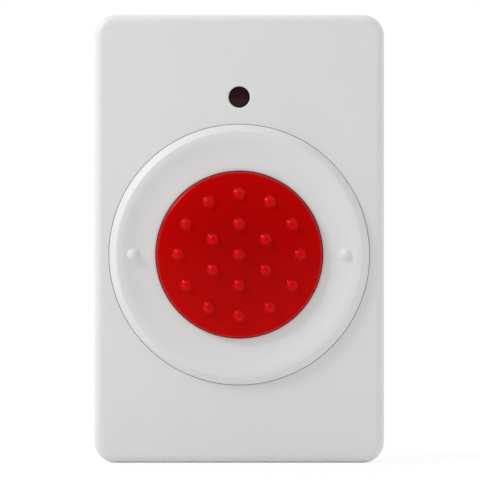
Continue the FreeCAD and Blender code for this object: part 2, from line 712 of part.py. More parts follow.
def button_bezel():
    """The dished ring. Outside its crest a straight flank slopes down to the cover's face."""
    skirt_inner = BEZEL_RADIUS - BEZEL_SKIRT_THICKNESS
    edges = [
        line((BEZEL_BORE, BEZEL_INNER_DEPTH), (DISH_START_RADIUS, BEZEL_INNER_DEPTH)),
        dish_arc(DISH_START_RADIUS, DISH_BEND_RADIUS),
        dish_arc(DISH_BEND_RADIUS, BEZEL_CREST_RADIUS),
    ]
    edges += polyline([
        (BEZEL_CREST_RADIUS, BEZEL_CREST_DEPTH),
        (BEZEL_RADIUS, CASE_DEPTH),
        (BEZEL_RADIUS, SHELF_FRONT),
        (skirt_inner, SHELF_FRONT),
        (skirt_inner, BEZEL_BACK),
        (BEZEL_BORE, BEZEL_BACK),
        (BEZEL_BORE, BEZEL_INNER_DEPTH),
    ])
    ring = turned(edges)
    ring = ring.makeFillet(BEZEL_EDGE_RADIUS, ring_edges(ring, BEZEL_BORE, BEZEL_INNER_DEPTH))
    ring = ring.makeFillet(BEZEL_CREST_ROUND, ring_edges(ring, BEZEL_CREST_RADIUS, BEZEL_CREST_DEPTH))
    ring = ring.makeFillet(BEZEL_EDGE_RADIUS, ring_edges(ring, BEZEL_RADIUS, CASE_DEPTH))
    surface = dish_point(BEZEL_PIP_CIRCLE)[1]
    pips = [pip(side * BEZEL_PIP_CIRCLE, BUTTON_Z, surface) for side in (-1, 1)]
    return joined([ring] + pips + [bezel_leg(angle) for angle in leg_angles()])


def dome_depth(radius, skin=0.0):
    """Depth of the cap's outer dome, or of its inside at one skin thickness."""
    sphere = CAP_SPHERE - skin
    return CAP_CROWN_DEPTH - CAP_SPHERE + math.sqrt(sphere ** 2 - radius ** 2)


def push_button():
    inner = CAP_RADIUS - CAP_SKIRT
    outside = [(radius, dome_depth(radius)) for radius in (0, CAP_RADIUS / 2, CAP_RADIUS)]
    inside = [(radius, dome_depth(radius, CAP_SKIN)) for radius in (inner, inner / 2, 0)]
    edges = [arc(*outside), arc(*inside), line(inside[2], outside[0])]
    edges += polyline([
        outside[2],
        (CAP_RADIUS, FLANGE_FRONT),
        (FLANGE_RADIUS, FLANGE_FRONT),
        (FLANGE_RADIUS, FLANGE_BACK),
        (inner, FLANGE_BACK),
        inside[0],
    ])
    cap = turned(edges)
    cap = cap.makeFillet(CAP_EDGE_RADIUS, ring_edges(cap, CAP_RADIUS, CAP_RIM_DEPTH))
    notch_depth = (FLANGE_BACK - PAST, FLANGE_FRONT + PAST / 2)
    for side in (-1, 1):
        notch_x = sorted((side * (WELL_RADIUS - KEY_REACH - KEY_CLEARANCE), side * (FLANGE_RADIUS + PAST)))
        notch_z = centred(BUTTON_Z, KEY_WIDTH + 2 * KEY_CLEARANCE)
        cap = cap.cut(block(notch_x, notch_z, notch_depth))
    stem = rod(STEM_RADIUS, 0, BUTTON_Z, (STEM_TIP, dome_depth(STEM_RADIUS, CAP_SKIN / 2)))
    pieces = [cap, stem]
    for ring in range(PIP_RINGS + 1):
        count = max(1, 6 * ring)
        radius = ring * PIP_PITCH
        for k in range(count):
            angle = math.radians(90 + 360 * k / count)
            x = radius * math.cos(angle)
            z = BUTTON_Z + radius * math.sin(angle)
            pieces.append(pip(x, z, dome_depth(radius)))
    return joined(pieces)


def return_spring():
    seat = WELL_FLOOR_DEPTH + SPRING_GAP + RETURN_WIRE
    ceiling = dome_depth(RETURN_RADIUS + RETURN_WIRE, CAP_SKIN) - SPRING_GAP - RETURN_WIRE
    spring = spring_coil(RETURN_RADIUS, RETURN_RADIUS, RETURN_WIRE, ceiling - seat, RETURN_TURNS)
    return placed(spring, spot(0, BUTTON_Z, seat), FRONT)


def status_window():
    flange = rod(WINDOW_RADIUS + WINDOW_FLANGE, 0, WINDOW_Z, (WINDOW_BACK, COVER_INSIDE))
    front = CASE_DEPTH - WINDOW_RECESS
    lens = rod(WINDOW_RADIUS, 0, WINDOW_Z, (WINDOW_BACK, front))
    lens = lens.makeFillet(WINDOW_RECESS, ring_edges(lens, WINDOW_RADIUS, front))
    return joined([lens, flange])


def lead_positions():
    return (-LEAD_PITCH / 2, LEAD_PITCH / 2)


def status_lamp():
    rim = rod(LAMP_RADIUS + LAMP_RIM, 0, WINDOW_Z, (LAMP_BACK, LAMP_BACK + LAMP_RIM_HEIGHT))
    body = rod(LAMP_RADIUS, 0, WINDOW_Z, (LAMP_BACK, LAMP_TOP - LAMP_RADIUS))
    dome = Part.makeSphere(LAMP_RADIUS, spot(0, WINDOW_Z, LAMP_TOP - LAMP_RADIUS))
    return joined([rim, body, dome])


def status_lamp_leads():
    return group([rod(LEAD_RADIUS, x, WINDOW_Z, (TAIL_END, LAMP_BACK)) for x in lead_positions()])


def lamp_spacer():
    body = rod(SPACER_RADIUS, 0, WINDOW_Z, (BOARD_FRONT, LAMP_BACK))
    for x in lead_positions():
        way = (BOARD_FRONT - PAST, LAMP_BACK + PAST)
        body = body.cut(rod(LEAD_RADIUS + LEAD_CLEARANCE, x, WINDOW_Z, way))
    return body


def header_positions():
    middle = (HEADER_PINS - 1) / 2
    return [HEADER_X + (k - middle) * HEADER_PITCH for k in range(HEADER_PINS)]


def terminal_positions(x, z):
    reach = SWITCH_SIDE / 2 + TERMINAL_THICKNESS / 2
    return [(x + i * reach, z + j * TERMINAL_PITCH / 2) for i in (-1, 1) for j in (-1, 1)]


def board_holes():
    """Every lead hole as (x, z, radius)."""
    terminal = math.hypot(TERMINAL_WIDTH, TERMINAL_THICKNESS) / 2 + LEAD_CLEARANCE
    switches = terminal_positions(0, BUTTON_Z) + terminal_positions(TAMPER_X, TAMPER_Z)
    holes = [(x, z, terminal) for x, z in switches]
    holes += [(x, WINDOW_Z, LEAD_RADIUS + LEAD_CLEARANCE) for x in lead_positions()]
    pin = HEADER_PIN * math.sqrt(0.5) + LEAD_CLEARANCE
    holes += [(x, HEADER_Z, pin) for x in header_positions()]
    holes += [(x, ANTENNA_Z, ANTENNA_WIRE + LEAD_CLEARANCE) for x in antenna_ends()]
    holes += [(x, z, SCREW_RADIUS + SCREW_HOLE_GAP) for x, z in BOARD_SCREWS]
    holes.append((0, LOWER_HOLE_Z, SCREWDRIVER_RADIUS))
    return holes


def circuit_board():
    """The board, with a bay for the cell and a notch for the upper wall screw."""
    layer = (BOARD_BACK, BOARD_FRONT)
    through = (BOARD_BACK - PAST, BOARD_FRONT + PAST)
    x_span = (-BOARD_HALF_WIDTH, BOARD_HALF_WIDTH)
    board = rounded_block(x_span, (BOARD_LOW_Z, BOARD_HIGH_Z), layer, SMALLEST_CORNER * 2)
    bay_z = (BOARD_LOW_Z - PAST, CELL_Z + CELL_RADIUS + BOARD_BAY_GAP)
    board = board.cut(block((-BOARD_BAY_HALF, BOARD_BAY_HALF), bay_z, through))
    notch = rod(SCREWDRIVER_RADIUS, 0, UPPER_HOLE_Z, through)
    notch_z = (UPPER_HOLE_Z, BOARD_HIGH_Z + PAST)
    notch = notch.fuse(block(centred(0, 2 * SCREWDRIVER_RADIUS), notch_z, through))
    board = board.cut(notch)
    for x, z, radius in board_holes():
        board = board.cut(rod(radius, x, z, through))
    return board


def board_screw(x, z):
    """A pan-head screw with a cross slot."""
    head_top = BOARD_FRONT + SCREW_HEAD_HEIGHT
    head = rod(SCREW_HEAD_RADIUS, x, z, (BOARD_FRONT, head_top))
    head = head.makeFillet(SCREW_HEAD_HEIGHT / 2, edges_at_depth(head, head_top))
    shank = rod(SCREW_RADIUS, x, z, (BOARD_FRONT - SCREW_LENGTH, BOARD_FRONT))
    screw = joined([head, shank])
    slot_depth = (head_top - SCREW_SLOT_DEPTH, head_top + PAST)
    slot_length = 2 * (SCREW_HEAD_RADIUS - SCREW_SLOT)
    for width, height in ((slot_length, SCREW_SLOT), (SCREW_SLOT, slot_length)):
        screw = screw.cut(block(centred(x, width), centred(z, height), slot_depth))
    return screw


def battery_cell():
    """The round lithium cell, its nub to the right."""
    can_end = CELL_END - CELL_NUB
    start = spot(-CELL_END, CELL_Z, CELL_DEPTH)
    can = Part.makeCylinder(CELL_RADIUS, can_end + CELL_END, start, RIGHT)
    can = can.makeFillet(CELL_EDGE, [edge for edge in can.Edges if hasattr(edge.Curve, "Radius")])
    nub_start = spot(can_end - CELL_EDGE, CELL_Z, CELL_DEPTH)
    nub = Part.makeCylinder(CELL_NUB_RADIUS, CELL_NUB + CELL_EDGE, nub_start, RIGHT)
    return joined([can, nub])


def contact_strip(side, face, foot_length):
    """A bent strip: an upright face against the cell and a foot on the board."""
    z_span = centred(CELL_Z, CONTACT_WIDTH)
    back = face + side * CONTACT_THICKNESS
    upright_depth = (BOARD_FRONT, BOARD_FRONT + CONTACT_HEIGHT)
    upright = block(sorted((face, back)), z_span, upright_depth)
    foot_x = sorted((face, face + side * foot_length))
    foot = block(foot_x, z_span, (BOARD_FRONT, BOARD_FRONT + CONTACT_THICKNESS))
    return joined([upright, foot])


def battery_positive_contact():
    return contact_strip(1, CELL_END + CONTACT_GAP, CONTACT_FOOT)


def battery_negative_contact():
    face = CELL_END + CELL_SPRING_LENGTH
    foot_end = SCREW_X - SCREW_HEAD_RADIUS - CONTACT_SCREW_GAP
    return contact_strip(-1, -face, foot_end - face)


def battery_spring():
    """A conical coil, wide on its plate and narrow on the cell."""
    seat = CELL_SPRING_WIRE + CONTACT_GAP
    rise = CELL_SPRING_LENGTH - 2 * seat
    ends = (CELL_SPRING_RADIUS, CELL_SPRING_END_RADIUS)
    spring = spring_coil(*ends, CELL_SPRING_WIRE, rise, CELL_SPRING_TURNS)
    start = seat - CELL_END - CELL_SPRING_LENGTH
    return placed(spring, spot(start, CELL_Z, CELL_DEPTH), RIGHT)


def switch_housing(x, z):
    side = SWITCH_SIDE
    body = rounded_block(centred(x, side), centred(z, side), (BOARD_FRONT, SWITCH_FRONT), SWITCH_CORNER)
    bore = rod(PLUNGER_RADIUS + PLUNGER_FIT, x, z, (SWITCH_FRONT - PLUNGER_BORE, SWITCH_FRONT + PAST))
    return body.cut(bore)


def switch_plunger(x, z, top):
    pin = rod(PLUNGER_RADIUS, x, z, (SWITCH_FRONT - PLUNGER_SEAT, top))
    return pin.makeChamfer(PLUNGER_CHAMFER, edges_at_depth(pin, top))


def switch_terminals(x, z):
    """Four flat legs down the sides of a switch and through the board."""
    depth_span = (TAIL_END, BOARD_FRONT + TERMINAL_TOP)
    legs = []
    for leg_x, leg_z in terminal_positions(x, z):
        across = centred(leg_x, TERMINAL_THICKNESS)
        legs.append(block(across, centred(leg_z, TERMINAL_WIDTH), depth_span))
    return group(legs)


def antenna_ends():
    return (ANTENNA_X, ANTENNA_X + ANTENNA_PITCH * ANTENNA_TURNS)


def coil_antenna():
    """A wound aerial along X, with a straight leg into the board at each end."""
    axis_depth = BOARD_FRONT + ANTENNA_LIFT + ANTENNA_WIRE + ANTENNA_RADIUS
    middle = spot(ANTENNA_X, ANTENNA_Z, axis_depth)
    wound = coil(ANTENNA_RADIUS, ANTENNA_WIRE, ANTENNA_PITCH, ANTENNA_TURNS)
    wound = placed(wound, middle, RIGHT)
    wound.rotate(middle, RIGHT, 90)
    legs = [rod(ANTENNA_WIRE, x, ANTENNA_Z, (TAIL_END, axis_depth - ANTENNA_RADIUS)) for x in antenna_ends()]
    return joined([wound] + legs)


def radio_carrier():
    depth_span = (BOARD_FRONT, BOARD_FRONT + CARRIER_THICKNESS)
    return block(centred(RADIO_X, CARRIER_WIDTH), centred(RADIO_Z, CARRIER_HEIGHT), depth_span)


def radio_shield():
    """A folded can, open underneath, with round corners."""
    bottom = BOARD_FRONT + CARRIER_THICKNESS
    top = bottom + SHIELD_DEPTH
    inner_width = SHIELD_WIDTH - 2 * SHIELD_SHEET
    inner_height = SHIELD_HEIGHT - 2 * SHIELD_SHEET
    can = rounded_block(
        centred(RADIO_X, SHIELD_WIDTH), centred(RADIO_Z, SHIELD_HEIGHT), (bottom, top), SHIELD_CORNER
    )
    inside = block(
        centred(RADIO_X, inner_width), centred(RADIO_Z, inner_height), (bottom - PAST, top - SHIELD_SHEET)
    )
    return can.makeFillet(SHIELD_SHEET, edges_at_depth(can, top)).cut(inside)


def controller_chip():
    bottom = BOARD_FRONT + CHIP_STANDOFF
    top = bottom + CHIP_THICKNESS
    body = block(centred(CHIP_X, CHIP_WIDTH), centred(CHIP_Z, CHIP_LENGTH), (bottom, top))
    return body.makeChamfer(CHIP_EDGE, edges_at_depth(body, top))


def controller_pin(side, z):
    """A pin bent down and out: shoulder at the body, upright, foot on the board."""
    wall = CHIP_X + side * CHIP_WIDTH / 2
    shoulder_end = wall + side * PIN_SHOULDER
    shoulder_depth = (BOARD_FRONT + PIN_LEVEL, BOARD_FRONT + PIN_LEVEL + PIN_THICKNESS)
    upright_x = sorted((shoulder_end, shoulder_end - side * PIN_THICKNESS))
    foot_x = sorted((shoulder_end - side * PIN_THICKNESS, shoulder_end + side * PIN_FOOT))
    across = centred(z, PIN_WIDTH)
    return joined([
        block(sorted((wall, shoulder_end)), across, shoulder_depth),
        block(upright_x, across, (BOARD_FRONT, shoulder_depth[1])),
        block(foot_x, across, (BOARD_FRONT, BOARD_FRONT + PIN_THICKNESS)),
    ])


def controller_pins():
    middle = (PIN_COUNT - 1) / 2
    rows = [CHIP_Z + (k - middle) * PIN_PITCH for k in range(PIN_COUNT)]
    return group([controller_pin(side, z) for side in (-1, 1) for z in rows])


def timing_crystal():
    """A flat can with round ends."""
    straight = CRYSTAL_LENGTH - CRYSTAL_WIDTH
    depth_span = (BOARD_FRONT, BOARD_FRONT + CRYSTAL_HEIGHT)
    pieces = [block(centred(CRYSTAL_X, straight), centred(CRYSTAL_Z, CRYSTAL_WIDTH), depth_span)]
    for x in centred(CRYSTAL_X, straight):
        pieces.append(rod(CRYSTAL_WIDTH / 2, x, CRYSTAL_Z, depth_span))
    can = joined(pieces)
    return can.makeFillet(CRYSTAL_EDGE, edges_at_depth(can, depth_span[1]))


def reservoir_capacitor():
    """A grooved round can on a square foot."""
    foot_top = BOARD_FRONT + CAPACITOR_FOOT
    top = BOARD_FRONT + CAPACITOR_HEIGHT
    side = 2 * CAPACITOR_RADIUS
    foot = block(centred(CAPACITOR_X, side), centred(CAPACITOR_Z, side), (BOARD_FRONT, foot_top))
    neck_top = foot_top + CAPACITOR_EDGE
    neck = rod(CAPACITOR_RADIUS - CAPACITOR_GROOVE, CAPACITOR_X, CAPACITOR_Z, (foot_top, neck_top))
    can = rod(CAPACITOR_RADIUS, CAPACITOR_X, CAPACITOR_Z, (neck_top, top))
    can = can.makeFillet(CAPACITOR_EDGE, edges_at_depth(can, top))
    return joined([foot, neck, can])


def program_header():
    length = HEADER_PINS * HEADER_PITCH
    depth_span = (BOARD_FRONT, BOARD_FRONT + HEADER_HEIGHT)
    body = block(centred(HEADER_X, length), centred(HEADER_Z, HEADER_PITCH), depth_span)
    for x in header_positions():
        way = (BOARD_FRONT - PAST, depth_span[1] + PAST)
        body = body.cut(block(centred(x, HEADER_PIN), centred(HEADER_Z, HEADER_PIN), way))
    return body


def header_pins():
    depth_span = (TAIL_END, BOARD_FRONT + HEADER_HEIGHT + HEADER_PIN_RISE)
    z_span = centred(HEADER_Z, HEADER_PIN)
    return group([block(centred(x, HEADER_PIN), z_span, depth_span) for x in header_positions()])


def chip_parts(x, z, count):
    """A short column of small chip parts."""
    parts = []
    depth_span = (BOARD_FRONT, BOARD_FRONT + CHIP_PART_HEIGHT)
    for k in range(count):
        z_span = centred(z - k * CHIP_PART_PITCH, CHIP_PART_WIDTH)
        parts.append(block(centred(x, CHIP_PART_LENGTH), z_span, depth_span))
    return group(parts)


def nodes():
    return {
        "rear_base": rear_base(),
        "front_cover": front_cover(),
        "button_bezel": button_bezel(),
        "push_button": push_button(),
        "return_spring": return_spring(),
        "status_window": status_window(),
        "status_lamp": status_lamp(),
        "status_lamp_leads": status_lamp_leads(),
        "lamp_spacer": lamp_spacer(),
        "circuit_board": circuit_board(),
        "board_screws": group([board_screw(x, z) for x, z in BOARD_SCREWS]),
        "battery_cell": battery_cell(),
        "battery_positive_contact": battery_positive_contact(),
        "battery_negative_contact": battery_negative_contact(),
        "battery_spring": battery_spring(),
        "alarm_switch_housing": switch_housing(0, BUTTON_Z),
        "alarm_switch_plunger": switch_plunger(0, BUTTON_Z, ALARM_PLUNGER_TOP),
        "alarm_switch_terminals": switch_terminals(0, BUTTON_Z),
        "tamper_switch_housing": switch_housing(TAMPER_X, TAMPER_Z),
        "tamper_switch_plunger": switch_plunger(TAMPER_X, TAMPER_Z, TAMPER_PLUNGER_TOP),
        "tamper_switch_terminals": switch_terminals(TAMPER_X, TAMPER_Z),
        "coil_antenna": coil_antenna(),
        "radio_carrier": radio_carrier(),
        "radio_shield": radio_shield(),
        "controller_chip": controller_chip(),
        "controller_pins": controller_pins(),
        "timing_crystal": timing_crystal(),
        "reservoir_capacitor": reservoir_capacitor(),
        "program_header": program_header(),
        "header_pins": header_pins(),
        "chip_resistors": chip_parts(RESISTOR_X, RESISTOR_Z, RESISTOR_COUNT),
        "chip_capacitors": chip_parts(CERAMIC_X, CERAMIC_Z, CERAMIC_COUNT),
    }


os.makedirs("parts", exist_ok=True)
for name, shape in nodes().items():
    shape.exportStep("parts/" + name + ".step")
    print(name, shape.isValid(), len(shape.Solids), round(shape.Volume, 2))
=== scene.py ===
import math

import bmesh
import bpy
from mathutils import Matrix, Vector


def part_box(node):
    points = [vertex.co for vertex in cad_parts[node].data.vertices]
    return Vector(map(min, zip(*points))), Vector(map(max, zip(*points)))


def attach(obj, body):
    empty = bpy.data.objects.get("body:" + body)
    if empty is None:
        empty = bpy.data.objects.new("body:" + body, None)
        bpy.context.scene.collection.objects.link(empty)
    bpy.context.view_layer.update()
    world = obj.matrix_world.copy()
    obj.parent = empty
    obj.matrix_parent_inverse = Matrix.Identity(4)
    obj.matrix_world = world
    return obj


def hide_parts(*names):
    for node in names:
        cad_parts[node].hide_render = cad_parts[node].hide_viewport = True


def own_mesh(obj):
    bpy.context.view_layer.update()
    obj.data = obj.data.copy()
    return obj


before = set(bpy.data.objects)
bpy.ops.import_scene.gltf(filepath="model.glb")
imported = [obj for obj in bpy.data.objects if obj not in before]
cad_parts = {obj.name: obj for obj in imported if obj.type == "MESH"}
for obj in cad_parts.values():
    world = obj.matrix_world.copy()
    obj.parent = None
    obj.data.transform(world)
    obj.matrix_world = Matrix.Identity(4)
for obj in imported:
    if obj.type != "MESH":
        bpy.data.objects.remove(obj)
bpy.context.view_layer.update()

# Rear base: the moulded back half of the case, with the two wall holes, the lip that the cover
# slides over, four board posts, two cradle ribs for the cell, the hinge windows and the latch
# tongue. White ABS, injection moulded in one piece with a fine spark-eroded grain.


def extent(node):
    """A node's spans across, up and out of the wall, in millimetres."""
    low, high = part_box(node)
    return (low.x * 1000, high.x * 1000), (low.z * 1000, high.z * 1000), (-high.y * 1000, -low.y * 1000)


# Meshes are drawn in millimetres as if the unit lay on its back: X to the right, Y up the case
# and Z out of the wall. This stands them up, in metres.
UPRIGHT = Matrix.Scale(0.001, 4) @ Matrix.Rotation(math.pi / 2, 4, "X")
CLOSE = 1e-4


def slab(across, up, out, corner=0.0, front=0.0, back=0.0, corner_steps=12, rim_steps=4):
    """A block between its spans, its four corners rounded, and the rims of its front and back."""
    bm = bmesh.new()
    bmesh.ops.create_cube(bm, size=1.0)
    spans = (across, up, out)
    bmesh.ops.scale(bm, vec=[high - low for low, high in spans], verts=bm.verts)
    move(bm, [(high + low) / 2 for low, high in spans])
    if corner:
        upright = [e for e in bm.edges if abs(e.verts[0].co.z - e.verts[1].co.z) > CLOSE]
        bevel(bm, upright, corner, corner_steps)
    for level, radius in ((out[1], front), (out[0], back)):
        if radius:
            rim = [e for e in bm.edges if all(abs(v.co.z - level) < CLOSE for v in e.verts)]
            bevel(bm, rim, radius, rim_steps)
    return bm


def move(bm, way):
    bmesh.ops.translate(bm, vec=way, verts=bm.verts)


def bevel(bm, edges, radius, steps):
    bmesh.ops.bevel(bm, geom=edges, offset=radius, offset_type="OFFSET", segments=steps,
                    profile=0.5, affect="EDGES", material=-1)


def merge(bm):
    """Joins what coincides and turns the faces outwards."""
    bmesh.ops.remove_doubles(bm, verts=bm.verts, dist=CLOSE)
    bmesh.ops.recalc_face_normals(bm, faces=bm.faces)


def turn(bm, angle, axis, place):
    """Turns a mesh about an axis through the origin, then moves the origin to a place."""
    bmesh.ops.rotate(bm, cent=(0, 0, 0), matrix=Matrix.Rotation(angle, 3, axis), verts=bm.verts)
    move(bm, place)


def spun(outline, middle=(0.0, 0.0), steps=96, closed=False):
    """What an outline of (radius, depth, rounding) corners sweeps about the Z axis at middle."""
    bm = bmesh.new()
    corners = [bm.verts.new((radius, 0.0, depth)) for radius, depth, _ in outline]
    for k in range(len(corners) if closed else len(corners) - 1):
        bm.edges.new((corners[k], corners[(k + 1) % len(corners)]))
    for vert, (_, _, rounding) in zip(corners, outline):
        if rounding:
            bmesh.ops.bevel(bm, geom=[vert], offset=rounding, offset_type="OFFSET",
                            segments=max(3, round(6 * math.sqrt(rounding))),
                            profile=0.5, affect="VERTICES", material=-1)
    bmesh.ops.spin(bm, geom=bm.verts[:] + bm.edges[:], cent=(0, 0, 0), axis=(0, 0, 1),
                   angle=2 * math.pi, steps=steps, use_merge=True)
    merge(bm)
    move(bm, (*middle, 0.0))
    return bm


def extruded(outline, across, edge=0.0):
    """A solid with one outline of (height, depth) points along the whole of a span."""
    bm = bmesh.new()
    face = bm.faces.new([bm.verts.new((across[0], height, depth)) for height, depth in outline])
    grown = bmesh.ops.extrude_face_region(bm, geom=[face])["geom"]
    moved = [g for g in grown if isinstance(g, bmesh.types.BMVert)]
    bmesh.ops.translate(bm, vec=(across[1] - across[0], 0, 0), verts=moved)
    bmesh.ops.recalc_face_normals(bm, faces=bm.faces)
    if edge:
        ends = [e for e in bm.edges if abs(e.verts[0].co.x - e.verts[1].co.x) < CLOSE]
        bevel(bm, ends, edge, 2)
    return bm


def in_scene(name, data):
    made = bpy.data.objects.new(name, data)
    bpy.context.scene.collection.objects.link(made)
    return made


def as_object(bm, name):
    mesh = bpy.data.meshes.new(name)
    bm.to_mesh(mesh)
    bm.free()
    return in_scene(name, mesh)


def combined(bm, operation, tools):
    """The mesh after a boolean operation with each tool, one after the other."""
    for tool in tools:
        held, used = as_object(bm, "held"), as_object(tool, "used")
        change = held.modifiers.new("change", "BOOLEAN")
        change.operation = operation
        change.solver = "EXACT"
        change.object = used
        bpy.context.view_layer.update()
        bm = bmesh.new()
        bm.from_object(held, bpy.context.evaluated_depsgraph_get())
        for made in (held, used):
            mesh = made.data
            bpy.data.objects.remove(made)
            bpy.data.meshes.remove(mesh)
    return bm


def joined(bm, *tools):
    return combined(bm, "UNION", tools)


def cut(bm, *tools):
    return combined(bm, "DIFFERENCE", tools)


def finished(bm, name, finish, sharp_deg=50.0, even=False):
    """The upright object of a drawn mesh, with its material; even keeps its flats flat."""
    bmesh.ops.transform(bm, matrix=UPRIGHT, verts=bm.verts)
    made = as_object(bm, name)
    made.data.shade_smooth()
    made.data.set_sharp_from_angle(angle=math.radians(sharp_deg))
    made.data.materials.append(finish.material)
    if even:
        made.modifiers.new("even", "WEIGHTED_NORMAL").keep_sharp = True
    return made


class Wire:
    """A socket in a material, which sums and products can be written with."""

    def __init__(self, finish, socket):
        self.finish = finish
        self.socket = socket

    def math(self, operation, *values):
        inputs = dict(enumerate(values))
        return self.finish.node("ShaderNodeMath", {"operation": operation}, inputs)

    def __add__(self, other):
        return self.math("ADD", self, other)

    __radd__ = __add__

    def __sub__(self, other):
        return self.math("SUBTRACT", self, other)

    def __rsub__(self, other):
        return self.math("SUBTRACT", other, self)

    def __mul__(self, other):
        return self.math("MULTIPLY", self, other)

    __rmul__ = __mul__

    def __truediv__(self, other):
        return self.math("DIVIDE", self, other)

    def __gt__(self, other):
        return self.math("GREATER_THAN", self, other)

    def __lt__(self, other):
        return self.math("LESS_THAN", self, other)

    def __abs__(self):
        return self.math("ABSOLUTE", self)

    def least(self, other):
        return self.math("MINIMUM", self, other)

    def most(self, other):
        return self.math("MAXIMUM", self, other)

    def beat(self, period):
        """How far the value is from the nearest multiple of a period."""
        return self.math("PINGPONG", self, period / 2)

    def clamped(self):
        return self.finish.node("ShaderNodeClamp", {}, {"Value": self})


class Finish:
    """A material, or the world, and the nodes put into it."""

    def __init__(self, name, kind="materials"):
        self.material = getattr(bpy.data, kind).new(name)
        self.material.use_nodes = True
        self.tree = self.material.node_tree
        self.tree.nodes.clear()

    def node(self, kind, settings, inputs, output=0):
        """Adds a node: its settings first, then its sockets' values or links."""
        made = self.tree.nodes.new(kind)
        for key, value in settings.items():
            setattr(made, key, value)
        for key, value in inputs.items():
            if isinstance(value, Wire):
                self.tree.links.new(value.socket, made.inputs[key])
            else:
                made.inputs[key].default_value = value
        return Wire(self, made.outputs[output])

    def place(self):
        return self.node("ShaderNodeTexCoord", {}, {}, "Object")

    def noise(self, size_mm, detail=2.0, rough=0.5, stretch=(1.0, 1.0, 1.0)):
        """Noise from 0 to 1 whose blobs are about size_mm, times stretch along each axis."""
        scaled = self.node("ShaderNodeMapping", {}, {
            "Vector": self.place(), "Scale": tuple(1000 / (size_mm * s) for s in stretch)})
        return self.node("ShaderNodeTexNoise", {}, {
            "Vector": scaled, "Scale": 1.0, "Detail": detail, "Roughness": rough}, "Fac")

    def mixed(self, factor, first, second):
        return self.node("ShaderNodeMix", {"data_type": "RGBA"}, {0: factor, 6: first, 7: second}, 2)

    def length(self, vector):
        return self.node("ShaderNodeVectorMath", {"operation": "LENGTH"}, {0: vector}, "Value")

    def distance(self, **sides):
        """The length of a line with these X, Y and Z sides."""
        return self.length(self.node("ShaderNodeCombineXYZ", {}, sides))

    def bump(self, height_mm):
        return self.node("ShaderNodeBump", {}, {"Height": height_mm, "Distance": 0.001})

    def surface(self, inputs):
        """A Principled shader with these sockets, as the material's surface."""
        return self.shown(self.node("ShaderNodeBsdfPrincipled", {}, inputs, "BSDF"))

    def shown(self, shader, end_kind="ShaderNodeOutputMaterial"):
        end = self.tree.nodes.new(end_kind)
        self.tree.links.new(shader.socket, end.inputs["Surface"])
        return self


def moulded_white(name):
    """Satin white plastic: faint flow clouding, and a fine even grain from the mould."""
    finish = Finish(name)
    cloud = finish.noise(14.0, 3.0)
    grain = finish.noise(0.22, 2.0, 0.6)
    pores = finish.noise(0.7, 3.0)
    return finish.surface({
        "Base Color": finish.mixed(cloud, (0.700, 0.700, 0.700, 1), (0.735, 0.736, 0.737, 1)),
        "Roughness": 0.40 + 0.10 * pores,
        "Specular IOR Level": 0.45,
        "Normal": finish.bump(grain * 0.004 + pores * 0.003),
    })


# The outline is the frame's. OUT and BACK values are levels out from the wall. Tools run PAST the
# faces that they cut or join, and a rounded mouth ends a HAIR above its face.
(case_left, case_right), (case_low, case_high), _ = extent("rear_base")
FLOOR = WALL = 2.0
BASE_OUT = 7.0
CORNER = 4.7
LIP_INSET, LIP_INNER = 2.15, 3.4
LIP_ROOT_OUT, LIP_OUT = 5.0, 8.6
EDGE, THIN_EDGE, BACK_EDGE, SNAP_EDGE = 0.2, 0.25, 0.5, 0.12
PAST, HAIR = 1.0, 0.01


def inset_slab(inset, out, **rounding):
    """A slab with the case's outline drawn in by an inset."""
    across = (case_left + inset, case_right - inset)
    return slab(across, (case_low + inset, case_high - inset), out, CORNER - inset, **rounding)


base = inset_slab(0.0, (0.0, BASE_OUT), front=EDGE, back=BACK_EDGE, rim_steps=3)
base = joined(base, inset_slab(LIP_INSET, (FLOOR + PAST, LIP_OUT), front=THIN_EDGE, rim_steps=3))
base = cut(
    base,
    inset_slab(WALL, (FLOOR, LIP_ROOT_OUT), back=BACK_EDGE),
    inset_slab(LIP_INNER, (FLOOR + PAST, LIP_OUT + 2 * PAST)),
)

# Posts for the board's four screws, each with a pilot hole
SMALL_STEPS = 48
BOSS_RADIUS, BOSS_FOOT, BOSS_OUT = 2.6, FLOOR - 0.4, 4.2
PILOT_RADIUS, PILOT_BACK, PILOT_EDGE = 1.12, 1.0, 0.15
(_, board_right), (board_low, board_high), (board_back, board_front) = extent("circuit_board")
SCREW_X = board_right - 3.6
SCREW_ROWS = (board_high - 20.5, board_low + 4.6)
SCREW_PLACES = [(x, y) for x in (-SCREW_X, SCREW_X) for y in SCREW_ROWS]


def peg(radius, back, out, place, back_edge=0, front_edge=0, steps=SMALL_STEPS):
    """A plain round solid between two levels, with the rims of its ends rounded."""
    return spun([
        (0.0, out, 0), (radius, out, front_edge), (radius, back, back_edge), (0.0, back, 0),
    ], place, steps)


def drill(radius, back, face, edge, place, steps=SMALL_STEPS):
    """A cutter for a round hole that ends at a face, with its mouth rounded."""
    wide, above = radius + PAST, face + PAST
    return spun([
        (0.0, back, 0), (radius, back, 0), (radius, face + HAIR, edge), (wide, face + HAIR, 0),
        (wide, above, 0), (0.0, above, 0),
    ], place, steps)


base = joined(base, *[
    peg(BOSS_RADIUS, BOSS_FOOT, BOSS_OUT, place, front_edge=EDGE) for place in SCREW_PLACES])
base = cut(base, *[
    drill(PILOT_RADIUS, PILOT_BACK, BOSS_OUT, PILOT_EDGE, place) for place in SCREW_PLACES])

# Cradle ribs under the cell
(cell_left, cell_right), (cell_low, cell_high), (cell_back, cell_front) = extent("battery_cell")
CELL_Y = (cell_low + cell_high) / 2
CELL_OUT = (cell_back + cell_front) / 2
CELL_RADIUS = (cell_high - cell_low) / 2
RIB_X, RIB_THICKNESS, RIB_BACK, RIB_OUT = 8.0, 1.6, 1.0, 6.5
RIB_INSET, CRADLE_CLEARANCE = 0.3, 0.1


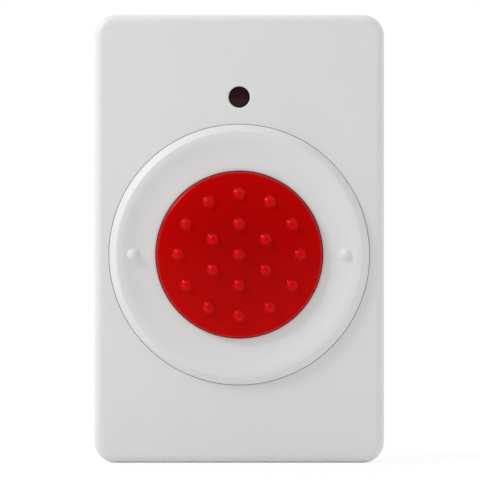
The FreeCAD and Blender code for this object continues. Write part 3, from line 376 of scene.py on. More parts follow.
def bar_along_x(radius, across, up, out):
    """A plain round cutter that runs along X."""
    bm = bmesh.new()
    bmesh.ops.create_cone(bm, cap_ends=True, segments=96, radius1=radius, radius2=radius,
                          depth=across[1] - across[0])
    turn(bm, math.pi / 2, "Y", ((across[0] + across[1]) / 2, up, out))
    return bm


for x in (-RIB_X, RIB_X):
    rib = slab((x - RIB_THICKNESS / 2, x + RIB_THICKNESS / 2),
               (cell_low + RIB_INSET, cell_high - RIB_INSET), (RIB_BACK, RIB_OUT), front=THIN_EDGE)
    cradle = bar_along_x(CELL_RADIUS + CRADLE_CLEARANCE, (x - RIB_THICKNESS, x + RIB_THICKNESS),
                         CELL_Y, CELL_OUT)
    base = joined(base, cut(rib, cradle))

# Ways for the cover's two hinge hooks: a window in the top wall and a gap in the lip
HOOK_X, HOOK_WAY = 18.0, 6.8
WAY_BACK, WAY_OUT = 2.2, 4.8
for x in (-HOOK_X, HOOK_X):
    way = (x - HOOK_WAY / 2, x + HOOK_WAY / 2)
    base = cut(
        base,
        slab(way, (case_high - WALL - PAST, case_high + PAST), (WAY_BACK, WAY_OUT),
             front=EDGE, back=EDGE, rim_steps=2),
        slab(way, (case_high - LIP_INNER - PAST, case_high - WALL), (WAY_BACK, LIP_OUT + PAST)),
    )

# Latch tongue between two slits of the lip
TONGUE_HALF, TONGUE_ROOT_OUT, TONGUE_OUT, SLIT_WIDTH = 5.0, 4.6, 11.5, 0.8
TONGUE_FACE, TONGUE_BACK, NOSE_TIP = case_low + 2.3, case_low + 3.5, case_low + 1.5
NOSE_OUT, NOSE_LAND, NOSE_RAMP = 9.0, 0.5, 0.8
for side in (-1, 1):
    slit = sorted((side * TONGUE_HALF, side * (TONGUE_HALF + SLIT_WIDTH)))
    base = cut(base, slab(
        slit, (case_low + WALL, case_low + LIP_INNER + PAST), (LIP_ROOT_OUT, LIP_OUT + PAST)))
base = joined(base, extruded([
    (TONGUE_BACK, TONGUE_ROOT_OUT), (TONGUE_FACE, TONGUE_ROOT_OUT), (TONGUE_FACE, NOSE_OUT),
    (NOSE_TIP, NOSE_OUT), (NOSE_TIP, NOSE_OUT + NOSE_LAND), (TONGUE_FACE, NOSE_OUT + NOSE_LAND + NOSE_RAMP),
    (TONGUE_FACE, TONGUE_OUT), (TONGUE_BACK, TONGUE_OUT),
], (-TONGUE_HALF, TONGUE_HALF), edge=SNAP_EDGE))

# Holes for the two wall screws, eased at both faces, and the shallow round marks that the
# mould's ejector pins leave on the back
WALL_HOLE_RADIUS, WALL_HOLE_EDGE = 2.1, 0.35
WALL_HOLE_DROP, WALL_HOLE_SPACING = 9.5, 62.0
wide = WALL_HOLE_RADIUS + PAST
for drop in (WALL_HOLE_DROP, WALL_HOLE_DROP + WALL_HOLE_SPACING):
    base = cut(base, spun([
        (0.0, -PAST, 0), (wide, -PAST, 0), (wide, -HAIR, 0), (WALL_HOLE_RADIUS, -HAIR, WALL_HOLE_EDGE),
        (WALL_HOLE_RADIUS, FLOOR + HAIR, WALL_HOLE_EDGE), (wide, FLOOR + HAIR, 0), (wide, FLOOR + PAST, 0),
        (0.0, FLOOR + PAST, 0),
    ], (0.0, case_high - drop), 64))
MARK_RADIUS, MARK_DEPTH, MARK_EDGE = 3.0, 0.08, 0.05
MARK_PLACES = [(x, y) for x in (-22.0, 22.0) for y in (-36.0, 0.0, 36.0)]
base = cut(base, *[
    peg(MARK_RADIUS, -PAST, MARK_DEPTH, place, front_edge=MARK_EDGE) for place in MARK_PLACES])

rear_shell = finished(base, "rear_shell", moulded_white("white_back_shell"), 40.0, even=True)
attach(rear_shell, "base")
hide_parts("rear_base")

# Front cover: the white front half of the case. Its stepped round well holds the bezel and the
# button, two curved hooks at the top swing in the base, and a small window at the bottom edge
# takes the base's latch nose. Moulded in the same white ABS as the base.
(_, BEZEL_RADIUS), _, (legs_back, _) = extent("button_bezel")
(_, FLANGE_RADIUS), flange_up, (stem_tip, _) = extent("push_button")
BUTTON_Y = sum(flange_up) / 2
BUTTON_AXIS = (0.0, BUTTON_Y)
TURN_STEPS = 192
COVER_BACK, COVER_INSIDE, COVER_OUT = 7.2, 20.0, 22.0
FRONT_EDGE, INSIDE_EDGE, WELL_EDGE = 1.8, 0.8, 0.3
HOLE_RADIUS, HOLE_EDGE = BEZEL_RADIUS + 0.06, 0.2
WELL_RADIUS, WELL_WALL = FLANGE_RADIUS + 1.5, 1.2
WELL_OUTER, SHELF_OUTER, SHELF_EDGE = WELL_RADIUS + WELL_WALL, HOLE_RADIUS + WELL_WALL, 0.15
WELL_BACK, WELL_FLOOR, WELL_TOP = 13.5, 15.0, COVER_INSIDE + 0.6
SHELF_BACK, SHELF_OUT = 17.0, 18.5
BUSH_BORE, BUSH_RADIUS, BUSH_OUT = 2.98, 4.38, 18.6

cover = inset_slab(0.0, (COVER_BACK, COVER_OUT), front=FRONT_EDGE, back=EDGE, rim_steps=8)
cover = cut(cover, inset_slab(WALL, (COVER_BACK - PAST, COVER_INSIDE), front=INSIDE_EDGE))
cover = joined(cover, spun([
    (0.0, WELL_BACK, 0), (WELL_OUTER, WELL_BACK, WELL_EDGE), (WELL_OUTER, SHELF_BACK, WELL_EDGE),
    (SHELF_OUTER, SHELF_BACK, EDGE), (SHELF_OUTER, WELL_TOP, 0), (0.0, WELL_TOP, 0),
], BUTTON_AXIS, TURN_STEPS))
wide, above = HOLE_RADIUS + PAST, COVER_OUT + 2 * PAST
cover = cut(cover, spun([
    (BUSH_RADIUS, WELL_FLOOR, EDGE), (WELL_RADIUS, WELL_FLOOR, EDGE), (WELL_RADIUS, SHELF_OUT, EDGE),
    (HOLE_RADIUS, SHELF_OUT, SHELF_EDGE), (HOLE_RADIUS, COVER_OUT + HAIR, HOLE_EDGE),
    (wide, COVER_OUT + HAIR, 0), (wide, above, 0), (0.0, above, 0),
    (0.0, BUSH_OUT, 0), (BUSH_RADIUS, BUSH_OUT, WELL_EDGE),
], BUTTON_AXIS, TURN_STEPS, closed=True))
cover = cut(cover, peg(
    BUSH_BORE, WELL_BACK - PAST, BUSH_OUT + PAST, BUTTON_AXIS, steps=64))

# Two ribs in the well that keep the button from turning, and the ways for the bezel's four legs
KEY_HALF, KEY_REACH, KEY_OUT = 1.4, 2.4, 20.5
for side in (-1, 1):
    key = sorted((side * (WELL_RADIUS - KEY_REACH), side * (WELL_RADIUS + WELL_WALL / 2)))
    cover = joined(cover, slab(
        key, (BUTTON_Y - KEY_HALF, BUTTON_Y + KEY_HALF), (WELL_BACK + PAST, KEY_OUT), WELL_EDGE,
        front=WELL_EDGE))
LEG_RADIUS, LEG_THICKNESS, LEG_NOSE, LEG_HALF = BEZEL_RADIUS - 4.5, 1.2, 0.7, 2.5
LEG_CLEARANCE, LEG_WAY_CORNER = 0.15, 0.3
LEG_ANGLES = [math.radians(45 + 90 * k) for k in range(4)]


def turned_slab(across, half_width, out, angle, **rounding):
    """A slab on the button's rim, turned to an angle round its axis."""
    bm = slab(across, (-half_width, half_width), out, **rounding)
    turn(bm, angle, "Z", (0, BUTTON_Y, 0))
    return bm


leg_way = (LEG_RADIUS - LEG_NOSE, LEG_RADIUS + LEG_THICKNESS + LEG_CLEARANCE)
cover = cut(cover, *[
    turned_slab(leg_way, LEG_HALF + 2 * LEG_CLEARANCE, (SHELF_BACK - PAST, SHELF_OUT + PAST), angle,
                corner=LEG_WAY_CORNER, corner_steps=3)
    for angle in LEG_ANGLES])

# Hole for the status window
WINDOW_AXIS = (0.0, sum(extent("status_window")[1]) / 2)
WINDOW_HOLE, WINDOW_EDGE = 2.35, 0.4
cover = cut(cover, drill(
    WINDOW_HOLE, COVER_INSIDE - PAST, COVER_OUT, WINDOW_EDGE, WINDOW_AXIS, 96))

# Post that holds the tamper plunger down
POST_RADIUS, POST_CLEARANCE = 1.5, 0.03
tamper_across, tamper_up, (_, tamper_out) = extent("tamper_switch_plunger")
cover = joined(cover, peg(
    POST_RADIUS, tamper_out + POST_CLEARANCE, WELL_TOP,
    (sum(tamper_across) / 2, sum(tamper_up) / 2), back_edge=EDGE))

# Hinge hooks, curved round the line that the cover turns on, and the window for the latch nose
HINGE_OUT, HOOK_OUTER, HOOK_INNER, HOOK_HALF = 7.0, 4.3, 3.1, 3.0
HOOK_SWEEP, HOOK_STEPS = math.radians(75), 8
SHANK_OUT, SHANK_BACK, SHANK_INSET = 13.0, 9.2, 1.0
NOSE_CLEARANCE = 0.3


def hook_arc(radius):
    """Points round the hinge line, from inside the case to the hook's tip."""
    angles = [HOOK_SWEEP * k / HOOK_STEPS for k in range(HOOK_STEPS + 1)]
    return [(case_high - radius * math.cos(a), HINGE_OUT - radius * math.sin(a)) for a in angles]


hook_outline = [*reversed(hook_arc(HOOK_OUTER)), (case_high - HOOK_OUTER, SHANK_OUT),
                (case_high - SHANK_INSET, SHANK_OUT), (case_high - SHANK_INSET, SHANK_BACK),
                (case_high - HOOK_INNER, SHANK_BACK), *hook_arc(HOOK_INNER)]
for x in (-HOOK_X, HOOK_X):
    cover = joined(cover, extruded(hook_outline, (x - HOOK_HALF, x + HOOK_HALF), edge=SNAP_EDGE))
nose_half = TONGUE_HALF + NOSE_CLEARANCE
cover = cut(cover, slab(
    (-nose_half, nose_half), (case_low - PAST, case_low + WALL + PAST / 2),
    (NOSE_OUT - NOSE_CLEARANCE, NOSE_OUT + NOSE_LAND + NOSE_RAMP + NOSE_CLEARANCE)))

cover_shell = finished(cover, "cover_shell", moulded_white("white_front_shell"), 40.0, even=True)
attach(cover_shell, "cover")
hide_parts("front_cover")

# Button bezel: the dished white ring round the button, round in plan, with a crest near its rim, a
# straight flank outside it and two raised pips. Moulded white ABS with four snap legs behind.
CREST_WIDTH, SKIRT_INSET, BEZEL_WIDTH = 1.5, 1.5, 10.25
CREST_OUT, BEZEL_INNER_OUT, BEZEL_BACK = 23.4, 22.0, 20.9
CREST_BEVEL, RIM_BEVEL, BORE_BEVEL = 0.24, 0.11, 0.14
CREST_RADIUS, SKIRT_RADIUS = BEZEL_RADIUS - CREST_WIDTH, BEZEL_RADIUS - SKIRT_INSET
BEZEL_BORE = BEZEL_RADIUS - BEZEL_WIDTH
DISH_START, DISH_BEND = BEZEL_BORE + 0.6, CREST_RADIUS - 2.2
DISH_SLOPE = math.sin(2 * math.atan((CREST_OUT - BEZEL_INNER_OUT) / (CREST_RADIUS - DISH_START)))


def dish_out(radius):
    """How far out the dished face is: hollow inside the bend and rounded outside it."""
    if radius <= DISH_START:
        return BEZEL_INNER_OUT
    if radius <= DISH_BEND:
        hollow = (DISH_BEND - DISH_START) / DISH_SLOPE
        return BEZEL_INNER_OUT + hollow - math.sqrt(hollow ** 2 - (radius - DISH_START) ** 2)
    crest = (CREST_RADIUS - DISH_BEND) / DISH_SLOPE
    return CREST_OUT - crest + math.sqrt(crest ** 2 - (CREST_RADIUS - radius) ** 2)


# A pip is a ball sunk a little into its face, with a small hollow round where it meets the face
PIP_BALL, PIP_RISE, PIP_FOOT = 1.3, 1.0, 0.45
PIP_SUNK = PIP_BALL - PIP_RISE
PIP_REACH = math.sqrt((PIP_BALL + PIP_FOOT) ** 2 - (PIP_FOOT + PIP_SUNK) ** 2)
PIP_STEPS, FOOT_RINGS, BALL_RINGS = 32, 4, 7


def pip_rings():
    """The (radius, height) of each ring of a pip above its face, from its foot to near its top."""
    lean = math.asin((PIP_FOOT + PIP_SUNK) / (PIP_BALL + PIP_FOOT))
    rings = []
    for k in range(1, FOOT_RINGS + 1):
        angle = (math.pi / 2 - lean) * k / FOOT_RINGS
        rings.append((PIP_REACH - PIP_FOOT * math.sin(angle), PIP_FOOT * (1 - math.cos(angle))))
    for k in range(1, BALL_RINGS + 1):
        angle = lean + (math.pi / 2 - lean) * k / (BALL_RINGS + 1)
        rings.append((PIP_BALL * math.cos(angle), PIP_BALL * math.sin(angle) - PIP_SUNK))
    return rings


EVENING_ROUNDS, SMOOTHINGS = 6, 4


def studded_face(rims, places, face_out, longest):
    """The face between its round rims, with pips: flat triangles first, evened out and lifted."""
    bm = bmesh.new()
    for radius in rims:
        bmesh.ops.create_circle(bm, segments=TURN_STEPS, radius=radius)
    for x, y in places:
        foot = bmesh.ops.create_circle(bm, segments=PIP_STEPS, radius=PIP_REACH)["verts"]
        bmesh.ops.translate(bm, vec=(x, y, 0), verts=foot)
    bmesh.ops.triangle_fill(bm, use_beauty=True, edges=bm.edges)
    for _ in range(EVENING_ROUNDS):
        inner = [e for e in bm.edges if not e.is_boundary]
        coarse = [e for e in inner if e.calc_length() > longest]
        bmesh.ops.subdivide_edges(bm, edges=coarse, cuts=1)
        bmesh.ops.triangulate(bm, faces=bm.faces)
        inner = [e for e in bm.edges if not e.is_boundary]
        bmesh.ops.beautify_fill(bm, faces=bm.faces, edges=inner)
        free = [v for v in bm.verts if not v.is_boundary]
        for _ in range(SMOOTHINGS):
            bmesh.ops.smooth_vert(bm, verts=free, factor=0.5, use_axis_x=True, use_axis_y=True)
    for x, y in places:
        middle = Vector((x, y, 0))
        foot = [e for e in bm.edges if e.is_boundary
                and all((v.co - middle).length < PIP_REACH + CLOSE for v in e.verts)]
        top = bmesh.ops.contextual_create(bm, geom=foot)["faces"][0]
        for radius, height in pip_rings():
            bmesh.ops.inset_individual(bm, faces=[top], thickness=HAIR)
            for vert in top.verts:
                flat = (vert.co - middle).xy.normalized() * radius
                vert.co = middle + Vector((flat.x, flat.y, height))
        tip = bmesh.ops.poke(bm, faces=[top])["verts"][0]
        tip.co = middle + Vector((0, 0, PIP_RISE))
    for vert in bm.verts:
        vert.co.z += face_out(vert.co.xy.length)
    bmesh.ops.recalc_face_normals(bm, faces=bm.faces)
    move(bm, (0, BUTTON_Y, 0))
    return bm


def add_mesh(bm, other):
    """Puts another mesh into bm and joins what coincides."""
    mesh = bpy.data.meshes.new("added")
    other.to_mesh(mesh)
    other.free()
    bm.from_mesh(mesh)
    bpy.data.meshes.remove(mesh)
    merge(bm)
    return bm


# The pips stand on a band of the face that is meshed apart and joined on
PIP_CIRCLE = BEZEL_RADIUS - 5.4
BAND_START, BAND_END, BAND_MESH = PIP_CIRCLE - 2.4, PIP_CIRCLE + 2.0, 0.7
INNER_STEPS, OUTER_STEPS = 6, 12
radii_in = [DISH_START + (BAND_START - DISH_START) * k / INNER_STEPS for k in range(1, INNER_STEPS + 1)]
radii_out = [BAND_END + (CREST_RADIUS - BAND_END) * k / OUTER_STEPS for k in range(OUTER_STEPS)]
ring = spun([
    *[(radius, dish_out(radius), 0) for radius in radii_out],
    (CREST_RADIUS, CREST_OUT, CREST_BEVEL), (BEZEL_RADIUS, COVER_OUT, RIM_BEVEL),
    (BEZEL_RADIUS, SHELF_OUT, EDGE), (SKIRT_RADIUS, SHELF_OUT, EDGE), (SKIRT_RADIUS, BEZEL_BACK, EDGE),
    (BEZEL_BORE, BEZEL_BACK, EDGE), (BEZEL_BORE, BEZEL_INNER_OUT, BORE_BEVEL),
    (DISH_START, BEZEL_INNER_OUT, 0), *[(radius, dish_out(radius), 0) for radius in radii_in],
], BUTTON_AXIS, TURN_STEPS)
ring = add_mesh(ring, studded_face(
    (BAND_START, BAND_END), [(-PIP_CIRCLE, 0.0), (PIP_CIRCLE, 0.0)], dish_out, BAND_MESH))
leg_outer, nose_root = LEG_RADIUS + LEG_THICKNESS, 0.2
for angle in LEG_ANGLES:
    leg = turned_slab((LEG_RADIUS, leg_outer), LEG_HALF, (legs_back, BEZEL_BACK + PAST / 2), angle)
    nose = turned_slab((leg_outer - nose_root, leg_outer + LEG_NOSE), LEG_HALF,
                       (legs_back, SHELF_BACK - LEG_CLEARANCE), angle)
    ring = joined(ring, joined(leg, nose))
bezel_ring = finished(ring, "bezel_ring", moulded_white("white_bezel"))
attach(bezel_ring, "cover")
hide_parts("button_bezel")

# Push button: the red domed cap with nineteen raised pips in two rings round the middle one, its
# skirt and flange behind the bezel, and the stem that works the switch. Moulded red ABS.
CAP_RADIUS = BEZEL_BORE - 0.16
CAP_RIM_OUT, CAP_CROWN, CAP_EDGE = BEZEL_INNER_OUT + 1.1, 1.4, 0.77
CAP_SPHERE = (CAP_RADIUS ** 2 + CAP_CROWN ** 2) / (2 * CAP_CROWN)
CAP_SKIN, SKIRT_INNER, STEM_RADIUS = 1.8, CAP_RADIUS - 1.6, 2.9
FLANGE_OUT, FLANGE_BACK = BEZEL_BACK - 0.05, BEZEL_BACK - 1.25


def dome_out(radius, skin=0.0):
    return CAP_RIM_OUT + CAP_CROWN - CAP_SPHERE + math.sqrt((CAP_SPHERE - skin) ** 2 - radius ** 2)


PIP_RINGS, PIP_MARGIN = 2, 5.04
PIP_PITCH = (BEZEL_BORE - PIP_MARGIN) / PIP_RINGS
cap_pips = [(0.0, 0.0)]
for ring_number in range(1, PIP_RINGS + 1):
    for k in range(6 * ring_number):
        angle = math.pi / 2 + 2 * math.pi * k / (6 * ring_number)
        reach = ring_number * PIP_PITCH
        cap_pips.append((reach * math.cos(angle), reach * math.sin(angle)))
FACE_RADIUS, FACE_MESH = CAP_RADIUS - 1.0, 0.9
UNDER_STEPS, STEM_EDGE, FLANGE_ROOT = 12, 0.3, 0.15
under_radii = [SKIRT_INNER + (STEM_RADIUS - SKIRT_INNER) * k / UNDER_STEPS for k in range(UNDER_STEPS + 1)]
cap = spun([
    (FACE_RADIUS, dome_out(FACE_RADIUS), 0), (CAP_RADIUS, dome_out(CAP_RADIUS), CAP_EDGE),
    (CAP_RADIUS, FLANGE_OUT, FLANGE_ROOT), (FLANGE_RADIUS, FLANGE_OUT, EDGE),
    (FLANGE_RADIUS, FLANGE_BACK, EDGE), (SKIRT_INNER, FLANGE_BACK, EDGE),
    *[(radius, dome_out(radius, CAP_SKIN), 0) for radius in under_radii],
    (STEM_RADIUS, stem_tip, STEM_EDGE), (0.0, stem_tip, 0),
], BUTTON_AXIS, TURN_STEPS)
cap = add_mesh(cap, studded_face((FACE_RADIUS,), cap_pips, dome_out, FACE_MESH))

# Notches in the flange, in which the well's two ribs run
KEY_CLEARANCE = 0.3
notch_half = KEY_HALF + KEY_CLEARANCE
for side in (-1, 1):
    notch = sorted((side * (WELL_RADIUS - KEY_REACH - KEY_CLEARANCE), side * (FLANGE_RADIUS + PAST)))
    cap = cut(cap, slab(
        notch, (BUTTON_Y - notch_half, BUTTON_Y + notch_half),
        (FLANGE_BACK - PAST, FLANGE_OUT + PAST / 2), EDGE))


def moulded_red(name):
    """Satin red plastic, deeper red in the middle, with painted light: lighter towards the rim and on the
    pips.
    """
    finish = Finish(name)
    cloud = finish.noise(9.0, 3.0)
    grain = finish.noise(0.18, 2.0, 0.6)
    pores = finish.noise(0.6, 3.0)
    sphere = finish.node("ShaderNodeMapping", {}, {
        "Vector": finish.place(), "Scale": (1000, 1000, 1000),
        "Location": (0, CAP_RIM_OUT + CAP_CROWN - CAP_SPHERE, -BUTTON_Y)})
    # Painted light on the pips: a mask of how far a point stands out of the dome, used only to lighten the
    # pips' red.
    painted_pip_light = ((finish.length(sphere) - CAP_SPHERE - 0.1) / (PIP_RISE - 0.4)).clamped()
    flat = finish.node("ShaderNodeVectorMath", {"operation": "MULTIPLY"}, {0: sphere, 1: (1, 0, 1)})
    off_axis = finish.length(flat) / CAP_RADIUS
    # Painted highlight: the red lightens towards the cap's rim, with a little random clouding mixed in.
    painted_rim_light_and_cloud = (off_axis * off_axis * 0.8 + cloud * 0.2).clamped()
    # The second, lighter red is the painted rim highlight.
    face = finish.mixed(painted_rim_light_and_cloud, (0.375, 0.0002, 0.0001, 1), (0.480, 0.0004, 0.0002, 1))
    return finish.surface({
        # The pips' lighter red is painted light where they catch it.
        "Base Color": finish.mixed(painted_pip_light, face, (0.600, 0.0008, 0.005, 1)),
        "Roughness": 0.18 + 0.08 * pores,
        "Specular IOR Level": 0.40,
        "Specular Tint": (1.0, 0.10, 0.09, 1),
        "Normal": finish.bump(grain * 0.003 + pores * 0.002),
    })


panic_cap = finished(cap, "panic_cap", moulded_red("red_button"))
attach(panic_cap, "button")
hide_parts("push_button")

# Status window: a smoked round lens pressed into the cover from behind, held by its flange and
# set a little below the face. Polished dark polycarbonate, so the lamp shows only when lit.
window_back, window_front = extent("status_window")[2]
LENS_RADIUS, LENS_EDGE, LENS_ROOT = 2.3, 0.3, 0.05
LENS_FALL = ((0.0, 0.0, 0), (0.9, 0.02, 0), (1.6, 0.07, 0), (LENS_RADIUS, 0.16, LENS_EDGE))
COLLAR_RADIUS, COLLAR_EDGE = LENS_RADIUS + 0.9, 0.15
lens = spun([
    *[(radius, window_front - fall, edge) for radius, fall, edge in LENS_FALL],
    (LENS_RADIUS, COVER_INSIDE, LENS_ROOT),
    (COLLAR_RADIUS, COVER_INSIDE, COLLAR_EDGE), (COLLAR_RADIUS, window_back, COLLAR_EDGE),
    (0.0, window_back, 0),
], WINDOW_AXIS)


def smoked(name):
    """Polished smoked plastic: near black with a red-brown cast and faint swirls of dye."""
    finish = Finish(name)
    swirl = finish.noise(1.6, 3.0, 0.5, (1.0, 1.0, 2.0))
    haze = finish.noise(0.3, 2.0)
    return finish.surface({
        "Base Color": finish.mixed(swirl, (0.011, 0.0015, 0.001, 1), (0.023, 0.0055, 0.005, 1)),
        "Roughness": 0.10 + 0.08 * haze,
        "Specular IOR Level": 0.18,
        "Normal": finish.bump(haze * 0.001),
    })


window_lens = finished(lens, "window_lens", smoked("smoked_lens"))
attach(window_lens, "cover")
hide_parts("status_window")

# Return spring: a compression spring of drawn steel wire round the guide bush, its two end turns
# closed and the rest open. It shortens as the button goes in.
(spring_left, spring_right), _, (spring_back, spring_front) = extent("return_spring")
WIRE_RADIUS = 0.3
COIL_RADIUS = (spring_right - spring_left) / 2 - WIRE_RADIUS
COIL_STEPS = 40
END_TURNS, OPEN_TURNS = 1.0, 4.0
END_RISE = 2 * WIRE_RADIUS * 1.05
OPEN_RISE = spring_front - spring_back - 2 * WIRE_RADIUS - 2 * END_RISE
coil = bmesh.new()
bmesh.ops.create_circle(coil, cap_ends=True, segments=12, radius=WIRE_RADIUS)
turn(coil, math.pi / 2, "X", (COIL_RADIUS, 0, spring_back + WIRE_RADIUS))
tail = coil.verts[:] + coil.edges[:] + coil.faces[:]
for turns, climb in ((END_TURNS, END_RISE), (OPEN_TURNS, OPEN_RISE), (END_TURNS, END_RISE)):
    steps = round(COIL_STEPS * turns)
    tail = bmesh.ops.spin(coil, geom=tail, cent=(0, 0, 0), axis=(0, 0, 1), dvec=(0, 0, climb / steps),
                          angle=2 * math.pi * turns, steps=steps)["geom_last"]
merge(coil)
move(coil, (0, BUTTON_Y, 0))


def drawn_metal(name, light, dark, rough, streak_mm=0.5, stretch=(6.0, 1.0, 1.0)):
    """Bare metal with the fine streaks of its making, duller in patches."""
    finish = Finish(name)
    streak = finish.noise(streak_mm, 3.0, 0.6, stretch)
    patch = finish.noise(2.5, 3.0)
    return finish.surface({
        "Base Color": finish.mixed(patch, (*dark, 1), (*light, 1)),
        "Metallic": 1.0,
        "Roughness": rough + 0.12 * streak + 0.08 * patch,
        "Normal": finish.bump(streak * 0.002),
    })


return_coil = finished(coil, "return_coil", drawn_metal(
    "drawn_spring_wire", (0.62, 0.62, 0.63), (0.46, 0.46, 0.47), 0.22), 60.0)
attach(return_coil, "cover")
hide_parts("return_spring")
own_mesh(return_coil)

# Circuit board: a glass-fibre laminate under green solder resist, screwed to the base's posts. Its
# tracks show through the resist, the lands for screws and parts are tinned, thin white outlines
# mark where the parts go, and the cut edges are bare laminate.


def dressed(finish, *nodes):
    """Gives CAD nodes that stay as they are their material."""
    for node in nodes:
        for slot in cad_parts[node].material_slots:
            slot.material = finish.material


def spread(finish):
    """How far across, up and out of the wall a point is, in millimetres."""
    point = finish.place()
    across, depth, up = [finish.node("ShaderNodeSeparateXYZ", {}, {0: point}, k) for k in range(3)]
    return across * 1000, up * 1000, depth * -1000


def apart(across, up, middle, half):
    """How far a point is outside a flat box, or below 0 how deep inside it."""
    return (abs(across - middle[0]) - half[0]).most(abs(up - middle[1]) - half[1])


def footprint(node):
    """The middle and the half sizes of a node, seen from the front."""
    spans = extent(node)[:2]
    return [sum(span) / 2 for span in spans], [(high - low) / 2 for low, high in spans]


def between(value, low, high):
    return (value > low) * (value < high)


def laminate(finish, light, dark, bare, ink, land, rim):
    """Resist over copper: bare is a gap in the copper, ink the print, land tinned, rim a cut edge."""
    fibre = finish.noise(0.45, 2.0, 0.5, (5.0, 1.0, 1.0)) + finish.noise(0.45, 2.0, 0.5, (1.0, 1.0, 5.0))
    cloud = finish.noise(6.0, 2.0)
    grain = finish.noise(0.15, 2.0)
    tone = finish.mixed(cloud, (*dark, 1), (*light, 1))
    tone = finish.mixed(bare * 0.8, tone, (*[shade * 0.3 for shade in dark], 1))
    tone = finish.mixed(ink * (0.8 + 0.2 * grain), tone, (0.70, 0.70, 0.66, 1))
    tone = finish.mixed(land, tone, finish.mixed(cloud, (0.58, 0.57, 0.54, 1), (0.74, 0.73, 0.70, 1)))
    tone = finish.mixed(rim, tone, finish.mixed(fibre * 0.5, (0.24, 0.20, 0.10, 1), (0.42, 0.37, 0.22, 1)))
    return finish.surface({
        "Base Color": tone,
        "Metallic": land * (1 - rim),
        "Roughness": 0.28 + 0.12 * grain + 0.30 * rim + 0.20 * ink,
        "Normal": finish.bump(fibre * 0.003 - bare * 0.02 + ink * 0.01 + land * 0.01),
    })


board = Finish("green_laminate")
across, up, out = spread(board)
chip_middle, chip_half = footprint("controller_chip")
carrier_middle, carrier_half = footprint("radio_carrier")

# Gaps in the copper: signal tracks from the chip to the radio carrier, stepping at 45 degrees half
# way, tracks down towards the cell's contacts, and the edges of two grounded areas
PIN_PITCH = 1.27
SIGNAL_STEP, SIGNAL_GAP, SIGNAL_ROWS = 4.0, (0.16, 0.34), (chip_middle[1] - 6.5, chip_middle[1] + 5.5)
POWER_STEP, POWER_GAP, POWER_PITCH, POWER_ROWS = 5.0, (0.30, 0.50), 1.8, (-28.0, -14.0)
POWER_HALF, POWER_STEP_Y = 14.0, -20.0
AREA_GAP, AREAS = 0.4, (((16.0, 27.0), (6.5, 4.5)), ((-6.0, 26.5), (4.0, 6.0)))
lane = up - (across * -1).most(0.0).least(SIGNAL_STEP)
bare = between(lane.beat(PIN_PITCH), *SIGNAL_GAP) * between(up, *SIGNAL_ROWS)
bare = bare * between(across, carrier_middle[0] + carrier_half[0], chip_middle[0] - chip_half[0] - 1)
lane = across + (up - POWER_STEP_Y).most(0.0).least(POWER_STEP)
strips = between(lane.beat(POWER_PITCH), *POWER_GAP) * between(across, -POWER_HALF, POWER_HALF)
bare = bare + strips * between(up, *POWER_ROWS)
for middle, half in AREAS:
    bare = bare + between(apart(across, up, middle, half), 0.0, AREA_GAP)

# White outlines, each at its margin round a part
INK_WIDTH = 0.15
ink = sum(between(apart(across, up, *footprint(node)), margin, margin + INK_WIDTH) for node, margin in (
    ("alarm_switch_housing", 1.4), ("tamper_switch_housing", 1.4), ("radio_carrier", 0.5),
    ("controller_pins", 0.5), ("timing_crystal", 0.5), ("reservoir_capacitor", 0.7),
    ("program_header", 0.4), ("coil_antenna", 0.6), ("chip_resistors", 0.8), ("chip_capacitors", 0.8)))

# Tinned lands: under the switches' terminals, the screw heads, the chip's pins and the small parts'
# ends, and the vias scattered between them
SWITCHES = ("alarm_switch_housing", "tamper_switch_housing")
SWITCH_LAND_PLACE, SWITCH_LAND_HALF, SCREW_LAND = (3.5, 2.25), (0.75, 0.6), 3.2
PIN_LAND_REACH, PIN_LAND_HALF, PIN_ROW_HALF = 1.3, 0.8, 0.38
PART_PITCH, PART_LAND_X, PART_LAND_HALF, PART_ROW_HALF = 2.6, 0.95, 0.45, 0.75
VIA_DENSITY, VIA_RADIUS = 0.2, 0.07
switch_places = [footprint(node)[0] for node in SWITCHES]
land = sum(apart(abs(across - x), abs(up - y), SWITCH_LAND_PLACE, SWITCH_LAND_HALF) < 0.0
           for x, y in switch_places)
for screw_y in SCREW_ROWS:
    land = land + (board.distance(X=abs(across) - SCREW_X, Y=up - screw_y) < SCREW_LAND)
row = (up - chip_middle[1] + PIN_PITCH / 2).beat(PIN_PITCH) < PIN_ROW_HALF
pads = apart(abs(across - chip_middle[0]), up, (chip_half[0] + PIN_LAND_REACH, chip_middle[1]),
             (PIN_LAND_HALF, chip_half[1] - 0.2)) < 0.0
land = land + pads * row
for node in ("chip_resistors", "chip_capacitors"):
    middle, half = footprint(node)
    row = (up - middle[1] + PART_PITCH / 2).beat(PART_PITCH) < PART_ROW_HALF
    pads = apart(abs(across - middle[0]), up, (PART_LAND_X, middle[1]),
                 (PART_LAND_HALF, half[1] + 0.1)) < 0.0
    land = land + pads * row
via = board.node("ShaderNodeTexVoronoi", {"voronoi_dimensions": "2D"}, {
    "Vector": board.node("ShaderNodeCombineXYZ", {}, {"X": across, "Y": up}),
    "Scale": VIA_DENSITY, "Randomness": 0.8}, "Distance")
land = (land + (via < VIA_RADIUS)).clamped()
RESIST = 0.05
rim = between(out, board_back + RESIST, board_front - RESIST)
dressed(laminate(board, (0.020, 0.150, 0.062), (0.012, 0.105, 0.042), bare.clamped() * (1 - land),
                 ink.clamped() * (1 - land), land, rim), "circuit_board")

